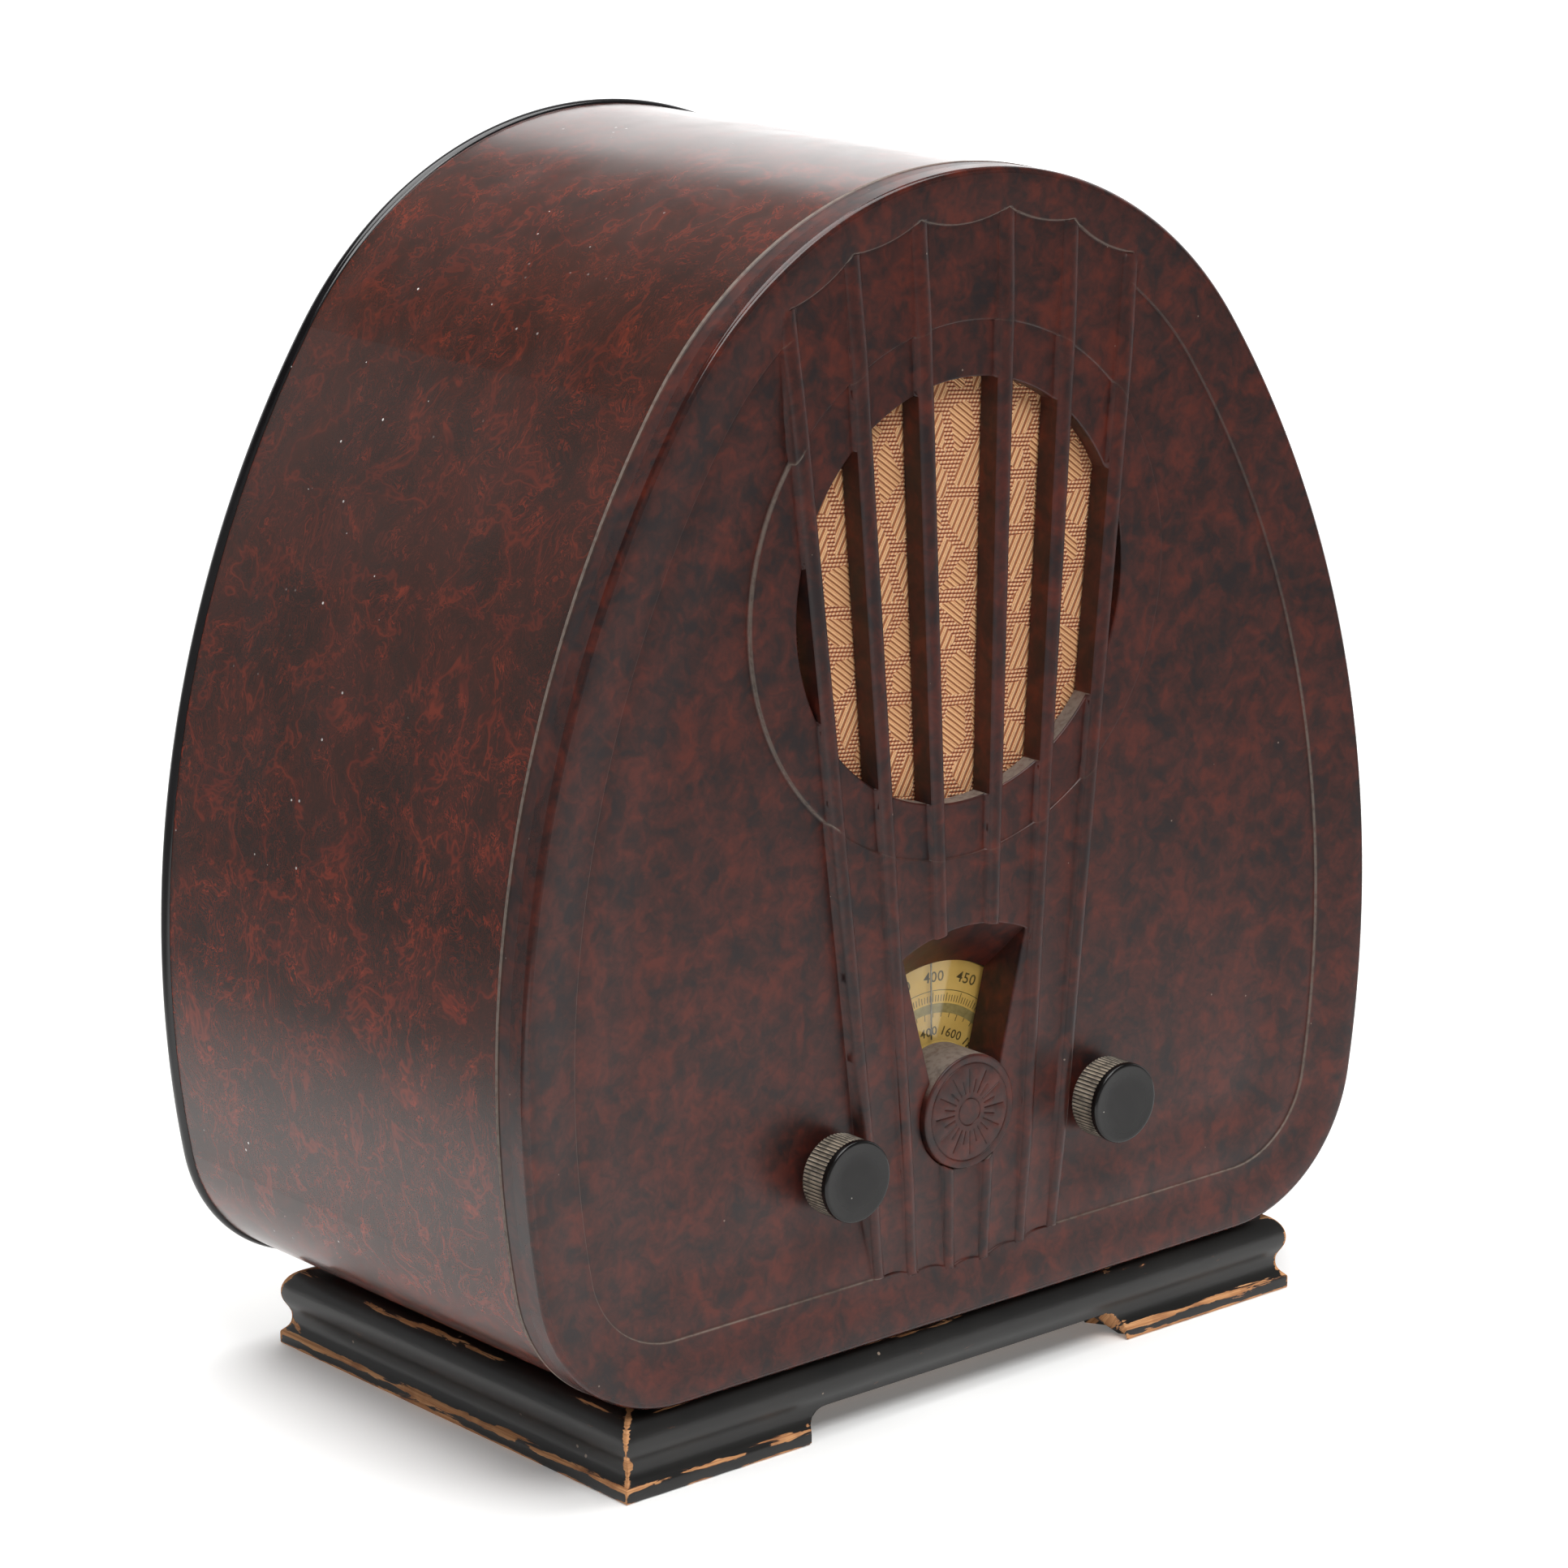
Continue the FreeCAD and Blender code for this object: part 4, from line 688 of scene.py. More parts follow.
def glass_bulb():
    look = Look("valve_glass", Roughness=0.08, IOR=1.5)
    silver = look.band(look.noise(35, 2.0), 0.4, 0.65, 0.1, 0.85)
    look.set(Base_Color=look.tone(60, (70, 72, 74), (150, 150, 148)), Metallic=silver)
    return look


def grained(name, dark, light, rough, size, relief=0.15, metal=0.0, scale=(1, 1, 1)):
    """A material whose colour, gloss and surface all vary with one stretched grain."""
    look = Look(name, Metallic=metal)
    grain = look.noise(size, 5.0, 0.62, 0.3, look.stretch(*scale))
    value = look.plus(look.times(grain, 0.7), look.times(look.noise(size / 6, 2.0), 0.3))
    look.set(Base_Color=look.ramp(value, (0.35, dark), (0.65, light)))
    look.set(Roughness=look.band(value, 0.3, 0.7, rough * 1.12, rough * 0.85))
    look.bump(grain, relief, 0.1)
    return look


# Dark and light colour, roughness, grain size, and where they aren't usual relief, metal and stretch.
GRAINED = {
    "cover_board": ((74, 50, 34), (104, 74, 50), 0.7, 220, 0.3),
    "screw_steel": ((120, 118, 114), (168, 166, 160), 0.35, 300, 0.15, 1.0),
    "plain_wood": ((150, 108, 66), (196, 152, 102), 0.65, 40, 0.25, 0.0, (8, 8, 0.6)),
    "frame_enamel": ((34, 36, 34), (52, 54, 50), 0.45, 150),
    "cone_paper": ((46, 40, 34), (72, 62, 52), 0.85, 260, 0.35),
    "coil_copper": ((150, 72, 38), (196, 108, 62), 0.3, 60, 0.15, 1.0, (1, 60, 1)),
    "spider_cloth": ((150, 112, 60), (188, 150, 92), 0.85, 400, 0.4),
    "winding_paper": ((120, 82, 44), (160, 118, 70), 0.7, 40, 0.3, 0.0, (1, 1, 30)),
    "turned_brass": ((150, 112, 48), (204, 164, 84), 0.28, 60, 0.15, 1.0, (1, 40, 1)),
    "plate_aluminium": ((150, 152, 152), (196, 198, 198), 0.38, 240, 0.15, 1.0),
    "chassis_steel": ((120, 122, 118), (160, 162, 158), 0.42, 90, 0.15, 0.9),
    "core_iron": ((52, 50, 50), (84, 82, 80), 0.5, 60, 0.4, 0.6, (1, 1, 60)),
    "strip_laminate": ((86, 50, 26), (122, 76, 42), 0.45, 60, 0.15, 0.0, (20, 1, 1)),
}


def make_looks():
    """Every material by its slot, and the dial's two inks."""
    looks = {name: grained(name, *values) for name, values in GRAINED.items()}
    looks.update(
        front_bakelite=bakelite(), burl_wrap=burl(), plinth_paint=worn_paint(), grille_cloth=weave(),
        dial_scale=dial_ivory(), clear_pane=clear_pane(), lamp_glass=glass_bulb(), valve_glass=glass_bulb(),
        knob_black=knob_black(), bead_black=gloss_black("bead_black", 0.14, (14, 13, 14)),
        moulded_black=gloss_black("moulded_black", 0.34, (20, 18, 17)),
        ink=dial_ink("dial_ink", (82, 70, 40)), band=dial_ink("dial_band_ink", (150, 138, 92)),
    )
    return looks


# ---- camera, light and floor

CAMERA_AT, CAMERA_ANGLES = (-1.3647, -1.6433, 0.8175), (-39.9, 17.03, -0.65)
SIDE_LEVEL, BACKDROP_LEVEL, BACKDROP_TOWARD = 0.3, 1.9, (0.64, 0.77, 0.0)
FLOOR_Z, FLOOR_RADII = -0.2, (0, 300, 700, 1100, 1550)
# Directions across the floor, and where it turns darker: beyond what the camera sees of it.
FLOOR_SHADES = (((0.62, -0.78, 0.0), 0.35, 0.8), ((-0.848, 0.53, 0.0), 0.36, 0.85))


def make_camera():
    turn, rise, roll = (radians(a) for a in CAMERA_ANGLES)
    back = Vector((sin(turn) * cos(rise), -cos(turn) * cos(rise), sin(rise)))
    right = (-back).cross(Vector((0, 0, 1))).normalized()
    up = right.cross(-back)
    across = right * cos(roll) + up * sin(roll)
    upward = up * cos(roll) - right * sin(roll)
    data = bpy.data.cameras.new("camera")
    data.lens, data.sensor_width, data.clip_end = 128.39, 36.0, 60
    data.shift_x, data.shift_y = -0.01227, 0.0945
    place = Matrix((across, upward, back)).transposed().to_4x4()
    place.translation = Vector(CAMERA_AT)
    camera = add_object("camera", data)
    camera.matrix_world = place
    bpy.context.scene.camera = camera


def soft_light(name, place, target, size, power):
    data = bpy.data.lights.new(name, "AREA")
    data.shape, data.size, data.size_y, data.energy = "RECTANGLE", size[0], size[1], power
    light = add_object(name, data)
    light.location = place
    light.rotation_euler = (Vector(target) - Vector(place)).to_track_quat("-Z", "Y").to_euler()


def make_world():
    """White behind the object as the camera sees it, dimmer to the sides and low overhead."""
    world = bpy.data.worlds.new("studio")
    bpy.context.scene.world = world
    bpy.context.scene.view_settings.view_transform = "Standard"
    world.use_nodes = True
    sky = Nodes(world.node_tree, "Generated")
    lift = sky.band(sky.axes(sky.where)[2], 0.40, 0.52, 1.0, 0.17)
    side = sky.band(sky.along(BACKDROP_TOWARD), 0.2, 0.8, SIDE_LEVEL, BACKDROP_LEVEL)
    background = world.node_tree.nodes["Background"].inputs
    sky.put(background[0], (1.0, 1.0, 1.0, 1.0))
    sky.put(background[1], sky.times(lift, side))


def make_floor():
    steps = 96
    verts = [(0, 0, FLOOR_Z)]
    for r in FLOOR_RADII[1:]:
        verts += [(x, y, FLOOR_Z) for x, y in arc(0, 0, r, [TURN * i / steps for i in range(steps)])]
    floor = mesh_object("floor", verts, disc_faces(len(FLOOR_RADII) - 1, steps))
    look = Look("floor_paper", Roughness=0.85)
    paper = look.tone(3, (248, 248, 247), (251, 251, 250), 2.0)
    shades = [look.band(look.along(away), start, end) for away, start, end in FLOOR_SHADES]
    shaded = look.mix(look.math("MAXIMUM", *shades), paper, (146, 146, 146))
    # The floor's faint emission is painted light that lifts the shadows on it.
    look.set(Base_Color=shaded, Emission_Color=shaded, Emission_Strength=0.14)
    floor.data.materials.append(look.material)


# ---- pieces


def finish_piece(obj, slot, *nodes, body="cabinet", look=None):
    """Gives a piece the material of its slot and its body, and hides the CAD nodes it stands for."""
    obj.data.materials.append(LOOKS[look or slot].material)
    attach(obj, body)
    if nodes:
        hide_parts(*nodes)


def window_line(grow):
    """The dial window's sides and top, this much outside the opening."""
    (fx, fz), (tx, tz) = WINDOW_FOOT, WINDOW_TOP
    long = hypot(tx - fx, tz - fz)
    nx, nz = (tz - fz) / long, -(tx - fx) / long
    fx, fz, r = fx + nx * grow, fz + nz * grow, WINDOW_R + grow
    side = [(fx + (tx - WINDOW_FOOT[0]) * t, fz + (tz - WINDOW_FOOT[1]) * t) for t in np.linspace(0, 1.2, 60)]
    side = [p for p in side if hypot(p[0], p[1] - WINDOW_ARC_Z) < r - 0.3]
    start = atan2(side[-1][1] - WINDOW_ARC_Z, side[-1][0])
    while True:
        x, z = arc(0, WINDOW_ARC_Z, r, [start])[0]
        if (x - fx) * nx + (z - fz) * nz <= 0:
            break
        start += 0.0005
    over = arc(0, WINDOW_ARC_Z, r, np.linspace(start, pi - start, 40))
    return open_line(side + over + [(-x, z) for x, z in reversed(side)])


CASE_INSETS = (0, 0.08, 0.3, 0.7, 1.2, 1.7, 2.2, 2.7, 4.0, 5.9, 6.3, 9, 12.5, 16, 20, 23.5, 24.7, 25.0, 25.2,
               25.4, 25.8, 28, 33, 39, 46, 54)
SPEAKER_RINGS = (OPENING_R, 82.0, 82.25, 82.6, 83.2, 88, 95, 102.4, 103.1, 103.45, 103.8, 104.3)
RIB_LINES = (-1, -0.93, -0.8, -0.6, -0.33, 0, 0.33, 0.6, 0.8, 0.93, 1)
# The wall round the front moulding, with the groove where it meets the shell, along which a pale highlight
# line is painted.
WALL_RUNGS = ((0.0, 9.0), (0.0, 15.0), (0.32, 15.15), (0.32, 15.4), (-0.25, 15.6), (-0.3, 16.1),
              (-0.12, 16.35), (-0.3, 16.6), (-0.25, 17.1), (0.25, 17.4))
# For each band of that wall: above zero paints a pale highlight line along the seam groove, below zero
# polishes the band.
WALL_HIGHLIGHT_AND_POLISH = (-0.5, -0.2, 0.0, 0.0, 0.2, 0.8, 0.55, 0.8, 0.8, 0.0, 0.0)


def front_panel():
    lines = [close_loop(case_loop(inset)) for inset in CASE_INSETS]
    lines += [ring_loop(0, SPEAKER_Z, r, 216) for r in SPEAKER_RINGS]
    for k in range(6):
        tz, fz = RIB_TOPS[k][1], RIB_FEET[k][1]
        heights = [fz + (tz - fz) * i / 72 for i in range(73)]
        offsets = [(u, 0) for u in RIB_LINES] + [(copysign(1, e), e) for e in (-1.1, -0.36, 0.36, 1.1)]
        for u, beyond in offsets:
            lines.append(open_line([(rib_centre(k, z) + u * rib_half(k, z) + beyond, z) for z in heights]))
    for k in range(5):
        for (cx, cz, r), ends, offsets in (
            (TOP_ARCS[k], RIB_TOPS[k:k + 2], (-0.5, 0, 0.16, 0.34, 0.5, 1.2)),
            (FOOT_ARCS[k], RIB_FEET[k:k + 2], (-0.5, 0, 0.25, 0.5, 1.2)),
        ):
            a, b = (atan2(z - cz, x - cx) for x, z in ends)
            lines += [open_line(arc(cx, cz, r + offset, np.linspace(a, b, 15))) for offset in offsets]
    lines += [window_line(grow) for grow in (0, 0.15, 0.4, 0.7, 1.4, 2.5, 2.8)]
    lines += [ring_loop(0, BOSS_Z, r, 120) for r in (BOSS_R, 23.42, 23.6, 23.8, 24.6)]
    lines += [ring_loop(x, KNOB_Z, r, 32) for x in (-KNOB_X, KNOB_X) for r in (SPINDLE_HOLE_R, 6.2)]
    lines += [ring_loop(x, z, r, 24) for x, z in POSTS for r in (6.0, 6.3)]
    rng, step, jitter = random.Random(7), 7.0, 0.6
    fill = []
    for j in range(int((CASE_TOP - CASE_LOW) / step)):
        for i in range(int(2 * CASE_HALF / step)):
            x = -CASE_HALF + (i + 0.5 + 0.5 * (j % 2)) * step + rng.uniform(-jitter, jitter)
            z = CASE_LOW + (j + 0.5) * step + rng.uniform(-jitter, jitter)
            if case_inset(x, z) > 57 and hypot(x, z - SPEAKER_Z) > 86:
                fill.append((x, z))
    wall = (lambda x, z: case_inset(x, z) < 0.01, WALL_RUNGS, WALL_HIGHLIGHT_AND_POLISH)
    shape = (panel_depth, panel_back, panel_keeps)
    obj = relief_solid("front_panel_moulding", lines, fill, *shape, pale_line_dust_and_highlight, wall)
    finish_piece(obj, "front_bakelite", "front_panel")


def back_bead():
    """The rounded black bead where the wrapped shell meets the back board."""
    (_, y0, _), (_, y1, _) = box_mm("back_rim")
    wide, lip, r = 9.0, 5.0, 2.8
    turns = [(cos(t), sin(t)) for t in np.linspace(0, pi / 2, 9)]
    profile = [(wide, y0), (lip, y0)] + [(r - r * s, y0 + r - r * c) for c, s in turns]
    profile += [(r - r * c, y1 - r + r * s) for c, s in turns]
    profile += [(lip, y1), (wide - 0.6, y1), (wide - 0.18, y1 - 0.18), (wide, y1 - 0.6)]
    loops = [[(x, y, z) for x, z in case_loop(inset)] for inset, y in profile]
    faces = [face[::-1] for face in ring_faces(len(profile), len(loops[0]), joined=True)]
    obj = mesh_object("back_bead", sum(loops, []), faces, sharp=40)
    finish_piece(obj, "bead_black", "back_rim")


def window_hood():
    """The sloping roof of the dial window, from the window's upper edge down to the top of the scale."""
    (fx, fz), (tx, tz) = WINDOW_FOOT, WINDOW_TOP
    lean = (tx - fx) / (tz - fz)
    low_r, near, far, thick = DIAL_R + 0.2, 4.2, TUNNEL_BACK - 0.4, 1.0
    span, rows = 48, 14
    end_x = tx
    for _ in range(60):
        end_z = DIAL_Z + sqrt(low_r ** 2 - end_x ** 2)
        end_x = 0.5 * (end_x + fx + lean * (end_z - fz))
    verts, faces = [], []
    for lift in (0.0, thick):
        for j in range(rows + 1):
            v = j / rows
            for i in range(span + 1):
                u = 2 * i / span - 1
                x0, x1 = u * (tx + 0.1), u * (end_x + 0.1)
                z0 = WINDOW_ARC_Z + sqrt(WINDOW_R ** 2 - x0 ** 2) + 0.05
                z1 = DIAL_Z + sqrt(low_r ** 2 - x1 ** 2)
                y = FRONT_Y + near + (far - near) * v
                verts.append((x0 + (x1 - x0) * v, y, z0 + (z1 - z0) * v + lift))
    wide, sheet = span + 1, (span + 1) * (rows + 1)
    for j in range(rows):
        for i in range(span):
            c = j * wide + i
            faces.append((c, c + wide, c + wide + 1, c + 1))
            faces.append((c + sheet, c + sheet + 1, c + sheet + wide + 1, c + sheet + wide))
    rim = list(range(span)) + [j * wide + span for j in range(rows)]
    rim += [rows * wide + i for i in range(span, 0, -1)] + [j * wide for j in range(rows, 0, -1)]
    faces += [(here, after, after + sheet, here + sheet) for here, after in close_loop(rim)]
    finish_piece(mesh_object("window_hood", verts, faces, sharp=40), "front_bakelite")


def emblem():
    """The boss under the window, engraved with a plain sunburst inside a ring."""
    face, outer, edge, cut_deep = 0.5, BOSS_R - 0.35, 0.9, 0.42
    ring_r, hub_r, half_wide = 19.6, 5.4, 0.4
    rays = [(TURN * i / 24, 7.6, 13.4 if i % 2 else 17.6) for i in range(24)]

    def depth(x, z):
        dz = z - BOSS_Z
        r = np.hypot(x, dz)
        cut = np.maximum(smooth(1 - np.abs(r - ring_r) / 0.45), smooth(1 - np.abs(r - hub_r) / half_wide))
        for t, low, high in rays:
            along = x * sin(t) + dz * cos(t)
            across = np.abs(x * cos(t) - dz * sin(t))
            ends = smooth((along - low) / half_wide) * smooth((high - along) / half_wide)
            cut = np.maximum(cut, smooth(1 - across / half_wide) * ends)
        return face + edge * rounding((r - outer + edge) / edge) + cut_deep * cut

    lines = [ring_loop(0, BOSS_Z, outer - o, 120) for o in (0, 0.1, 0.3, 0.6, 0.9)]
    lines += [ring_loop(0, BOSS_Z, r + o, 96) for r in (ring_r, hub_r) for o in (-0.45, -0.22, 0, 0.22, 0.45)]
    for t, low, high in rays:
        c, s = cos(t), sin(t)
        middle = np.linspace(low + 1, high - 1, 5)
        places = [low - 0.05, low + 0.2, low + 0.4, *middle, high - 0.4, high - 0.2, high + 0.05]
        for across in (-0.4, -0.2, 0, 0.2, 0.4):
            lines.append(open_line([(a * s + across * c, BOSS_Z + a * c - across * s) for a in places]))
    obj = relief_solid("emblem_boss", lines, [], depth, lambda x, z: np.full(np.shape(x), 21.0),
                       lambda x, z: np.hypot(x, z - BOSS_Z) < outer + 0.01)
    finish_piece(obj, "front_bakelite", "front_emblem")


KNOB_PROFILE = [
    (0.4, -124.86), (8.0, -124.88), (14.2, -124.9), (15.0, -125.0), (15.5, -124.95), (15.9, -124.7),
    (16.15, -124.3), (16.2, -123.8), (16.2, -122.6), (16.1, -122.3), (15.6, -122.15), (15.55, -121.95),
    (16.0, -121.8), (16.05, -121.5), (16.05, -116.0), (16.05, -111.3), (15.9, -110.9), (15.4, -110.6),
    (7.0, -110.6), (3.6, -110.6),
]
KNOB_RIBBED = {12: 0.6, 13: 1.0, 14: 1.0, 15: 1.0, 16: 0.6}
# Across one groove: how deep each point is cut, and how caked with dust it is.
GROOVE_CUT, GROOVE_DUST = (0.0, 0.0, 0.3, 1.0, 1.0, 0.3), (0.0, 0.0, 0.55, 1.0, 1.0, 0.55)
GROOVES, GROOVE_DEEP, KNOB_FACE_ROWS = 62, 0.75, range(2, 12)


def knob(name, x, body, node):
    per_groove = len(GROOVE_CUT)
    steps = GROOVES * per_groove
    verts, faces = lathe(
        KNOB_PROFILE, (x, KNOB_Z), steps,
        radial=lambda i, row: -GROOVE_DEEP * GROOVE_CUT[i % per_groove] * KNOB_RIBBED.get(row, 0.0),
    )
    obj = mesh_object(name, verts, faces, sharp=40)
    values = []
    for poly in obj.data.polygons:
        for v in poly.vertices:
            row, i = divmod(v, steps)
            polished = -1.0 if row in KNOB_FACE_ROWS else 0.0
            values.append(GROOVE_DUST[i % per_groove] if row in KNOB_RIBBED else polished)
    corner_value(obj, "dust", values)
    finish_piece(obj, "knob_black", node, body=body)


def rail_profile():
    """Outer side of a plinth moulding from below, a foot, a cove and a bullnose: (inset, height, wear)."""
    points = [
        (26.0, 0.0, 0.0), (8.0, 0.0, 0.2), (2.0, 0.0, 0.8), (0.5, 0.0, 1.0), (0.12, 0.14, 1.0),
        (0.0, 0.5, 0.95), (0.0, 1.4, 0.6), (0.0, 2.6, 0.35), (0.0, 3.8, 0.6), (0.0, 4.7, 1.0),
        (0.15, 5.25, 1.05), (0.5, 5.6, 1.0), (1.0, 6.1, 0.75), (1.8, 6.9, 0.4), (2.6, 7.9, 0.2),
        (3.2, 9.1, 0.08), (3.55, 10.5, 0.05), (3.65, 12.1, 0.05), (3.5, 13.7, 0.05), (3.0, 15.1, 0.08),
    ]
    for i in range(21):
        t = radians(212 - 122 * i / 20)
        rub = 0.1 + 0.5 * exp(-(((i - 15) / 1.6) ** 2))
        points.append((11.6 + 11.0 * cos(t), 22.0 + 10.4 * sin(t), rub))
    return points + [(26.0, 32.4, 0.0)]


RAIL = rail_profile()
RAIL_HEIGHTS, RAIL_INSETS = [p[1] for p in RAIL[4:-1]], [p[0] for p in RAIL[4:-1]]
RAIL_BACK, ARCH_HIGH, ARCH_CORNER = 25.9, 12.5, 10.0


def plinth_rail(side, corner, run, inward, length, arch=0.0, seed=1, hard=1.0):
    """One mitred moulding: corner is its outer corner, run the way it goes, inward the way to the middle.

    arch is half the width of the opening under it, hard how much more than the others it has been knocked.
    """
    stations = {i / 120 for i in range(121)}
    if arch:
        near_ends = (0.02, -0.02, -1, -2.5, -4.5, -7, -10)
        stations |= {0.5 + s * (arch + e) / length for s in (-1, 1) for e in near_ends}
    rng = random.Random(seed)
    wave = [(rng.uniform(0.02, 0.6), rng.uniform(0, 6.28), rng.uniform(0.4, 1.0)) for _ in range(14)]
    verts, wear, run_uv = [], [], []
    for q in sorted(stations):
        for inset, z, rub in RAIL:
            along = inset + q * (length - 2 * inset)
            middle = abs(along - length / 2)
            lift = 0.0
            if middle < arch:
                bend = max(0.0, middle - arch + ARCH_CORNER) / ARCH_CORNER
                lift = ARCH_HIGH - ARCH_CORNER + ARCH_CORNER * sqrt(max(0.0, 1 - bend ** 2))
            if z < lift:
                if inset < RAIL_BACK:
                    inset = max(inset, float(np.interp(lift, RAIL_HEIGHTS, RAIL_INSETS)))
                z, rub = lift, 0.25 if middle < arch - 11 else 0.7
            end = min(along, length - along) - inset
            corner_rub = max(0.0, 1.15 - end / 3.5) * (0.95 if inset < 20 else 0)
            under_arch = arch and z < 9 and middle > arch - 1
            arch_rub = max(0.0, 1 - abs(middle - arch) / 5) * (0.85 if under_arch else 0)
            rub = max(rub, corner_rub, arch_rub)
            wobble = sum(a * sin(f * along + z * 0.35 + p) for f, p, a in wave) / len(wave)
            worn = max(0.0, rub - 0.55) * (0.35 + 0.9 * wobble)
            push = inset + (max(0.0, min(0.6, worn)) if 0.2 < z < 31 or inset < 1 else 0.0)
            verts.append([corner[i] + run[i] * along + inward[i] * push for i in (0, 1)] + [z])
            wear.append(rub * hard)
            run_uv.append((along * MM, (z + inset) * MM))
    faces = ring_faces(len(stations), len(RAIL))
    if run[0] * inward[1] - run[1] * inward[0] < 0:
        faces = [face[::-1] for face in faces]
    obj = mesh_object(f"plinth_{side}_moulding", verts, faces, sharp=42)
    layer = obj.data.uv_layers.new(name="run")
    loop_vertex = [v for poly in obj.data.polygons for v in poly.vertices]
    layer.data.foreach_set("uv", [c for v in loop_vertex for c in run_uv[v]])
    corner_value(obj, "wear", [wear[v] for v in loop_vertex])
    finish_piece(obj, "plinth_paint", f"plinth_{side}_rail")


def plinth():
    (x0, y0, _), (x1, y1, _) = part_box("plinth_front_rail")[0] / MM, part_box("plinth_back_rail")[1] / MM
    wide, deep = x1 - x0, y1 - y0
    plinth_rail("front", (x0, y0), (1, 0), (0, 1), wide, arch=83.0, seed=3)
    plinth_rail("back", (x0, y1), (1, 0), (0, -1), wide, seed=4)
    plinth_rail("left", (x0, y0), (0, 1), (1, 0), deep, seed=5, hard=1.2)
    plinth_rail("right", (x1, y0), (0, 1), (-1, 0), deep, seed=6)


def cloth():
    low, high = box_mm("speaker_cloth")
    r = (high[0] - low[0]) / 2
    rings, steps, half_gap = 60, 200, 0.1
    rng = random.Random(11)
    waves = [(rng.uniform(-0.16, 0.16), rng.uniform(-0.1, 0.1), rng.uniform(0, 6.28)) for _ in range(9)]

    def wrinkle(x, z):
        return 0.04 * sum(sin(a * x + b * z + p) for a, b, p in waves)

    verts = []
    for y in (low[1] + half_gap, high[1] - half_gap):
        verts.append((0, y + wrinkle(0, SPEAKER_Z), SPEAKER_Z))
        for i in range(1, rings + 1):
            for j in range(steps):
                t = TURN * j / steps
                x, z = r * i / rings * sin(t), SPEAKER_Z + r * i / rings * cos(t)
                verts.append((x, y + wrinkle(x, z) * (1 - (i / rings) ** 6), z))
    half, disc = 1 + rings * steps, disc_faces(rings, steps)
    faces = [face[::-1] for face in disc] + [tuple(v + half for v in face) for face in disc]
    faces += [(a, b, b + half, a + half) for a, b in close_loop(list(range(half - steps, half)))]
    obj = mesh_object("grille_cloth_disc", verts, faces, sharp=50)
    finish_piece(obj, "grille_cloth", "speaker_cloth")


INK_PROUD, INK_DEEP = 0.04, 0.02
# Both scales: angle of the mark nearest the cursor, and the angle between numbered marks.
OUTER_AT, OUTER_STEP = radians(3.2), radians(20.6)
INNER_AT, INNER_STEP = radians(-3.5), radians(29.4)
SCALE_END = radians(100)
NUMBERS = [(str(400 + 50 * i), 46.3, OUTER_AT + OUTER_STEP * i, 6.0) for i in range(-4, 5)]
NUMBERS += [(str(1400 + 200 * i), 24.4, INNER_AT + INNER_STEP * i, 5.0) for i in range(-3, 4)]


def polar(r, t):
    return r * sin(t), DIAL_Z + r * cos(t)


def printed(name, shapes, y, look):
    """Four-cornered marks printed on the dial, standing just proud of it."""
    verts, faces = [], []
    for points in shapes:
        start = len(verts)
        verts += [(x, y - lift, z) for lift in (INK_PROUD, -INK_DEEP) for x, z in points]
        faces += [tuple(start + i for i in range(4)), tuple(start + 7 - i for i in range(4))]
        faces += [(start + i, start + i + 4, start + k + 4, start + k) for i, k in close_loop([0, 1, 2, 3])]
    finish_piece(mesh_object(name, verts, faces, sharp=0), "dial_scale", body="tuning_gang", look=look)


def tick(t, low, high):
    a, b = 0.17 / low, 0.17 / high
    return [polar(low, t - a), polar(low, t + a), polar(high, t + b), polar(high, t - b)]


def ring_marks(low, high):
    angles = [radians(-102 + 204 * i / 120) for i in range(121)]
    return [[polar(low, a), polar(low, b), polar(high, b), polar(high, a)] for a, b in open_line(angles)]


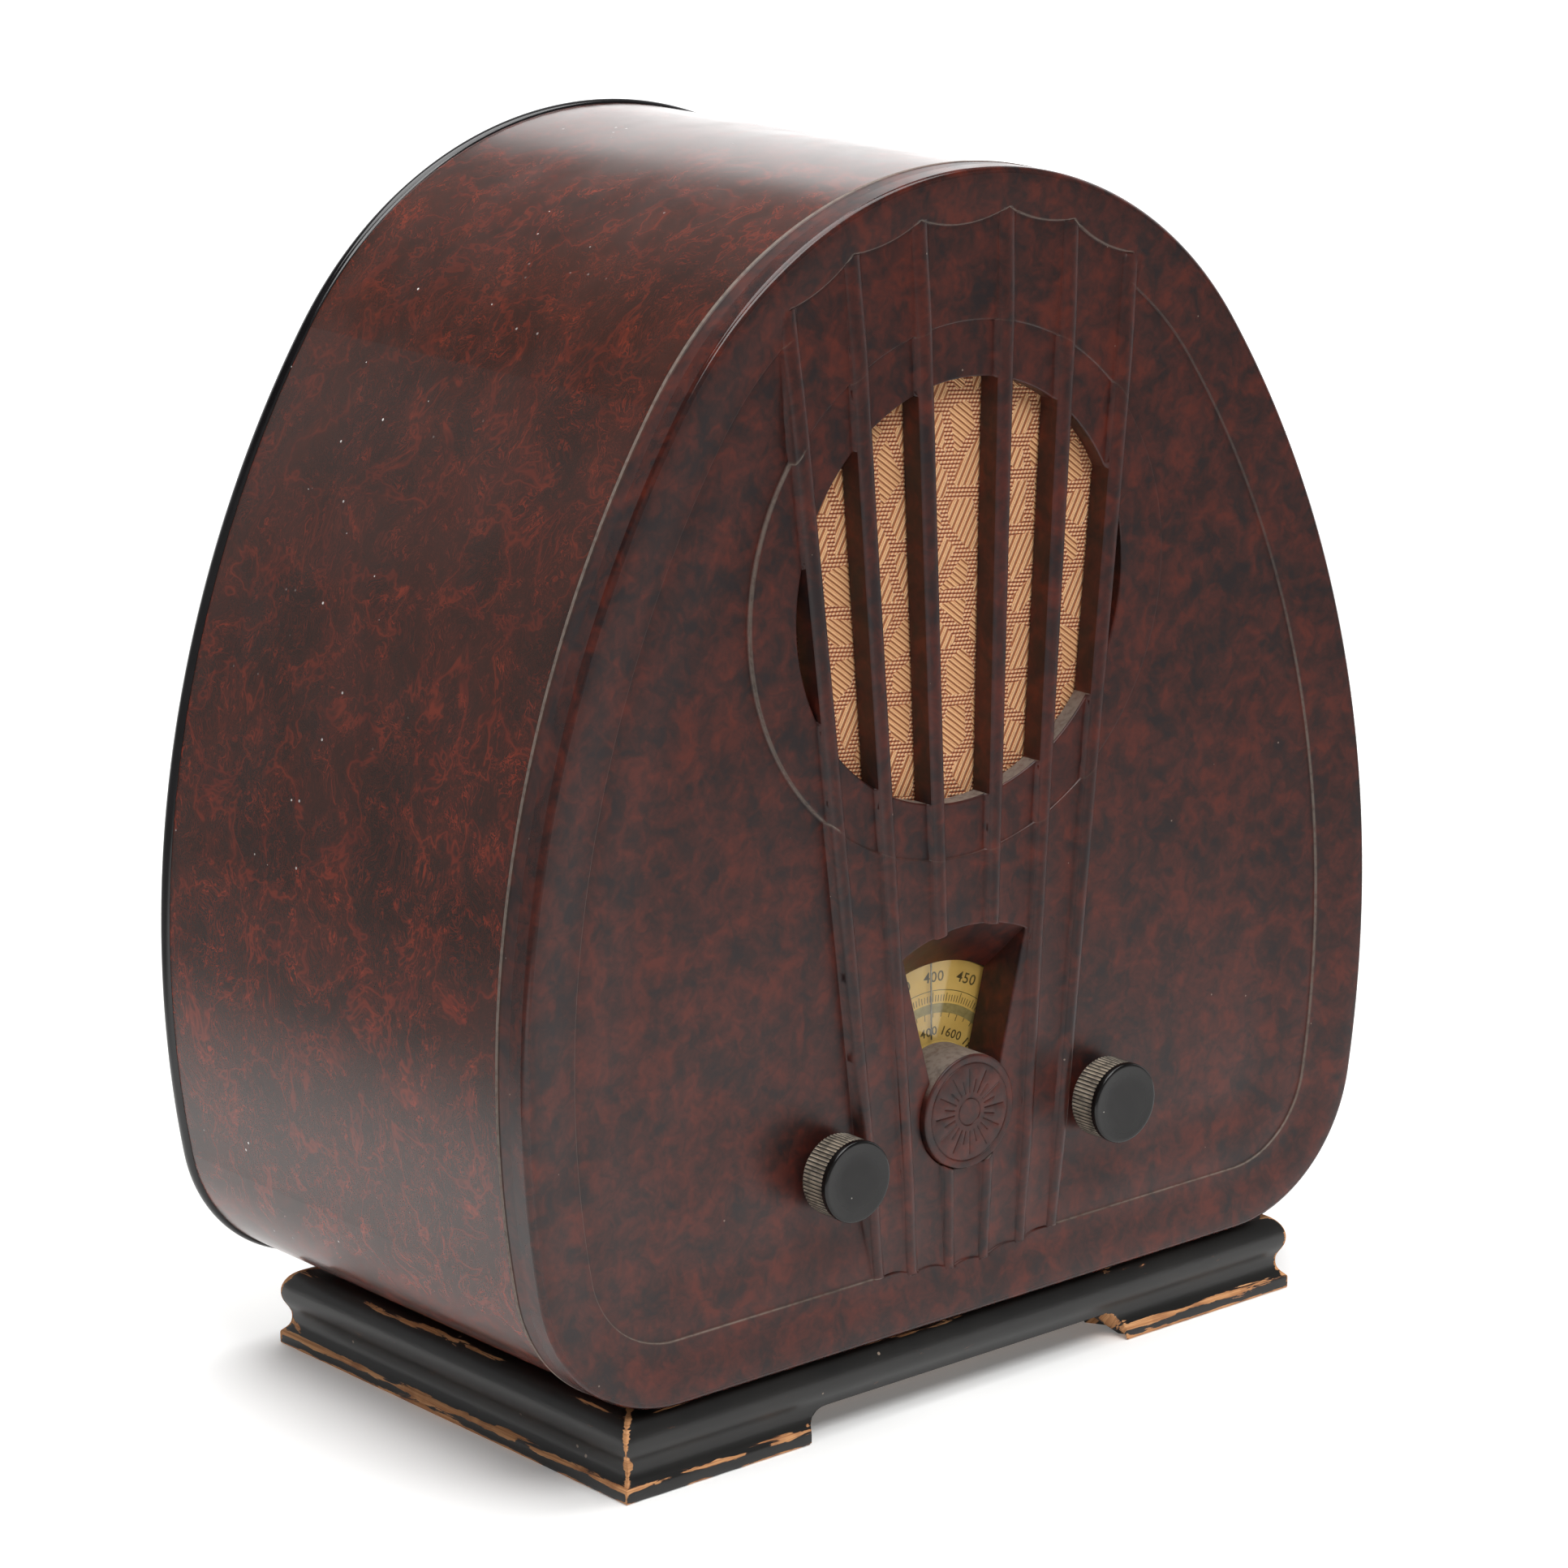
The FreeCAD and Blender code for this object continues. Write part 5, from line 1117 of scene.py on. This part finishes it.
def dial():
    (_, y, _), (_, back, _) = box_mm("dial_disc")
    profile = [(8.0, y), (DIAL_R - 0.3, y), (DIAL_R, y + 0.3)]
    profile += [(DIAL_R, back - 0.2), (DIAL_R - 0.2, back), (8.0, back)]
    disc = mesh_object("dial_scale_disc", *lathe(profile, (0, DIAL_Z), 180, joined=True), sharp=40)
    finish_piece(disc, "dial_scale", "dial_disc", body="tuning_gang")

    outer = [(OUTER_AT + OUTER_STEP * i / 10, 42.2 if i % 10 == 0 else 41.5 if i % 5 == 0 else 40.8)
             for i in range(-45, 46)]
    inner = [(INNER_AT + INNER_STEP * i / 4, 31.0 if i % 4 == 0 else 31.9) for i in range(-15, 16)]
    marks = [tick(t, 38.2, high) for t, high in outer if abs(t) < SCALE_END]
    marks += [tick(t, low, 33.6) for t, low in inner if abs(t) < SCALE_END]
    printed("dial_ticks", marks + ring_marks(42.6, 42.85), y, "ink")
    printed("dial_band", ring_marks(33.6, 37.4), y, "band")
    for text, r, turn, tall in NUMBERS:
        name = "dial_number_" + text
        data = bpy.data.curves.new(name, "FONT")
        data.body, data.size, data.align_x = text, tall * MM, "CENTER"
        data.extrude, data.resolution_u, data.space_character = INK_DEEP * MM, 3, 1.06
        data.offset = 0.05 * MM
        label = add_object(name, data)
        bpy.context.view_layer.update()
        flat = bpy.data.meshes.new_from_object(label.evaluated_get(bpy.context.evaluated_depsgraph_get()))
        bpy.data.objects.remove(label)
        x, z = polar(r, turn)
        c, s = cos(turn), sin(turn)
        rows = ((c, s, 0, x * MM), (0, 0, -1, (y - INK_PROUD) * MM), (-s, c, 0, z * MM), (0, 0, 0, 1))
        flat.transform(Matrix(rows) @ Matrix.Diagonal((1.12, 1.0, 1.0, 1.0)))
        flat.materials.clear()
        finish_piece(add_object(name, flat), "dial_scale", body="tuning_gang", look="ink")


def paint_nodes():
    slots = {part["node"]: part["material_slot"] for part in frame["record"]["subparts"]}
    for name, node in frame["nodes"].items():
        node.data.materials.clear()
        node.data.materials.append(LOOKS[slots[name]].material)


# ---- the scene

make_camera()
make_world()
soft_light("key", (-0.4, -1.9, 2.7), (0, 0, 0.2), (1.8, 1.4), 58)
soft_light("top", (0.1, 0.15, 2.9), (0, 0.05, 0), (3.0, 2.2), 106)
make_floor()
LOOKS = make_looks()
paint_nodes()
front_panel()
window_hood()
back_bead()
emblem()
knob("volume_knob", -KNOB_X, "volume_control", "knob_volume")
knob("station_knob", KNOB_X, "tuning_control", "knob_tuning")
plinth()
cloth()
dial()
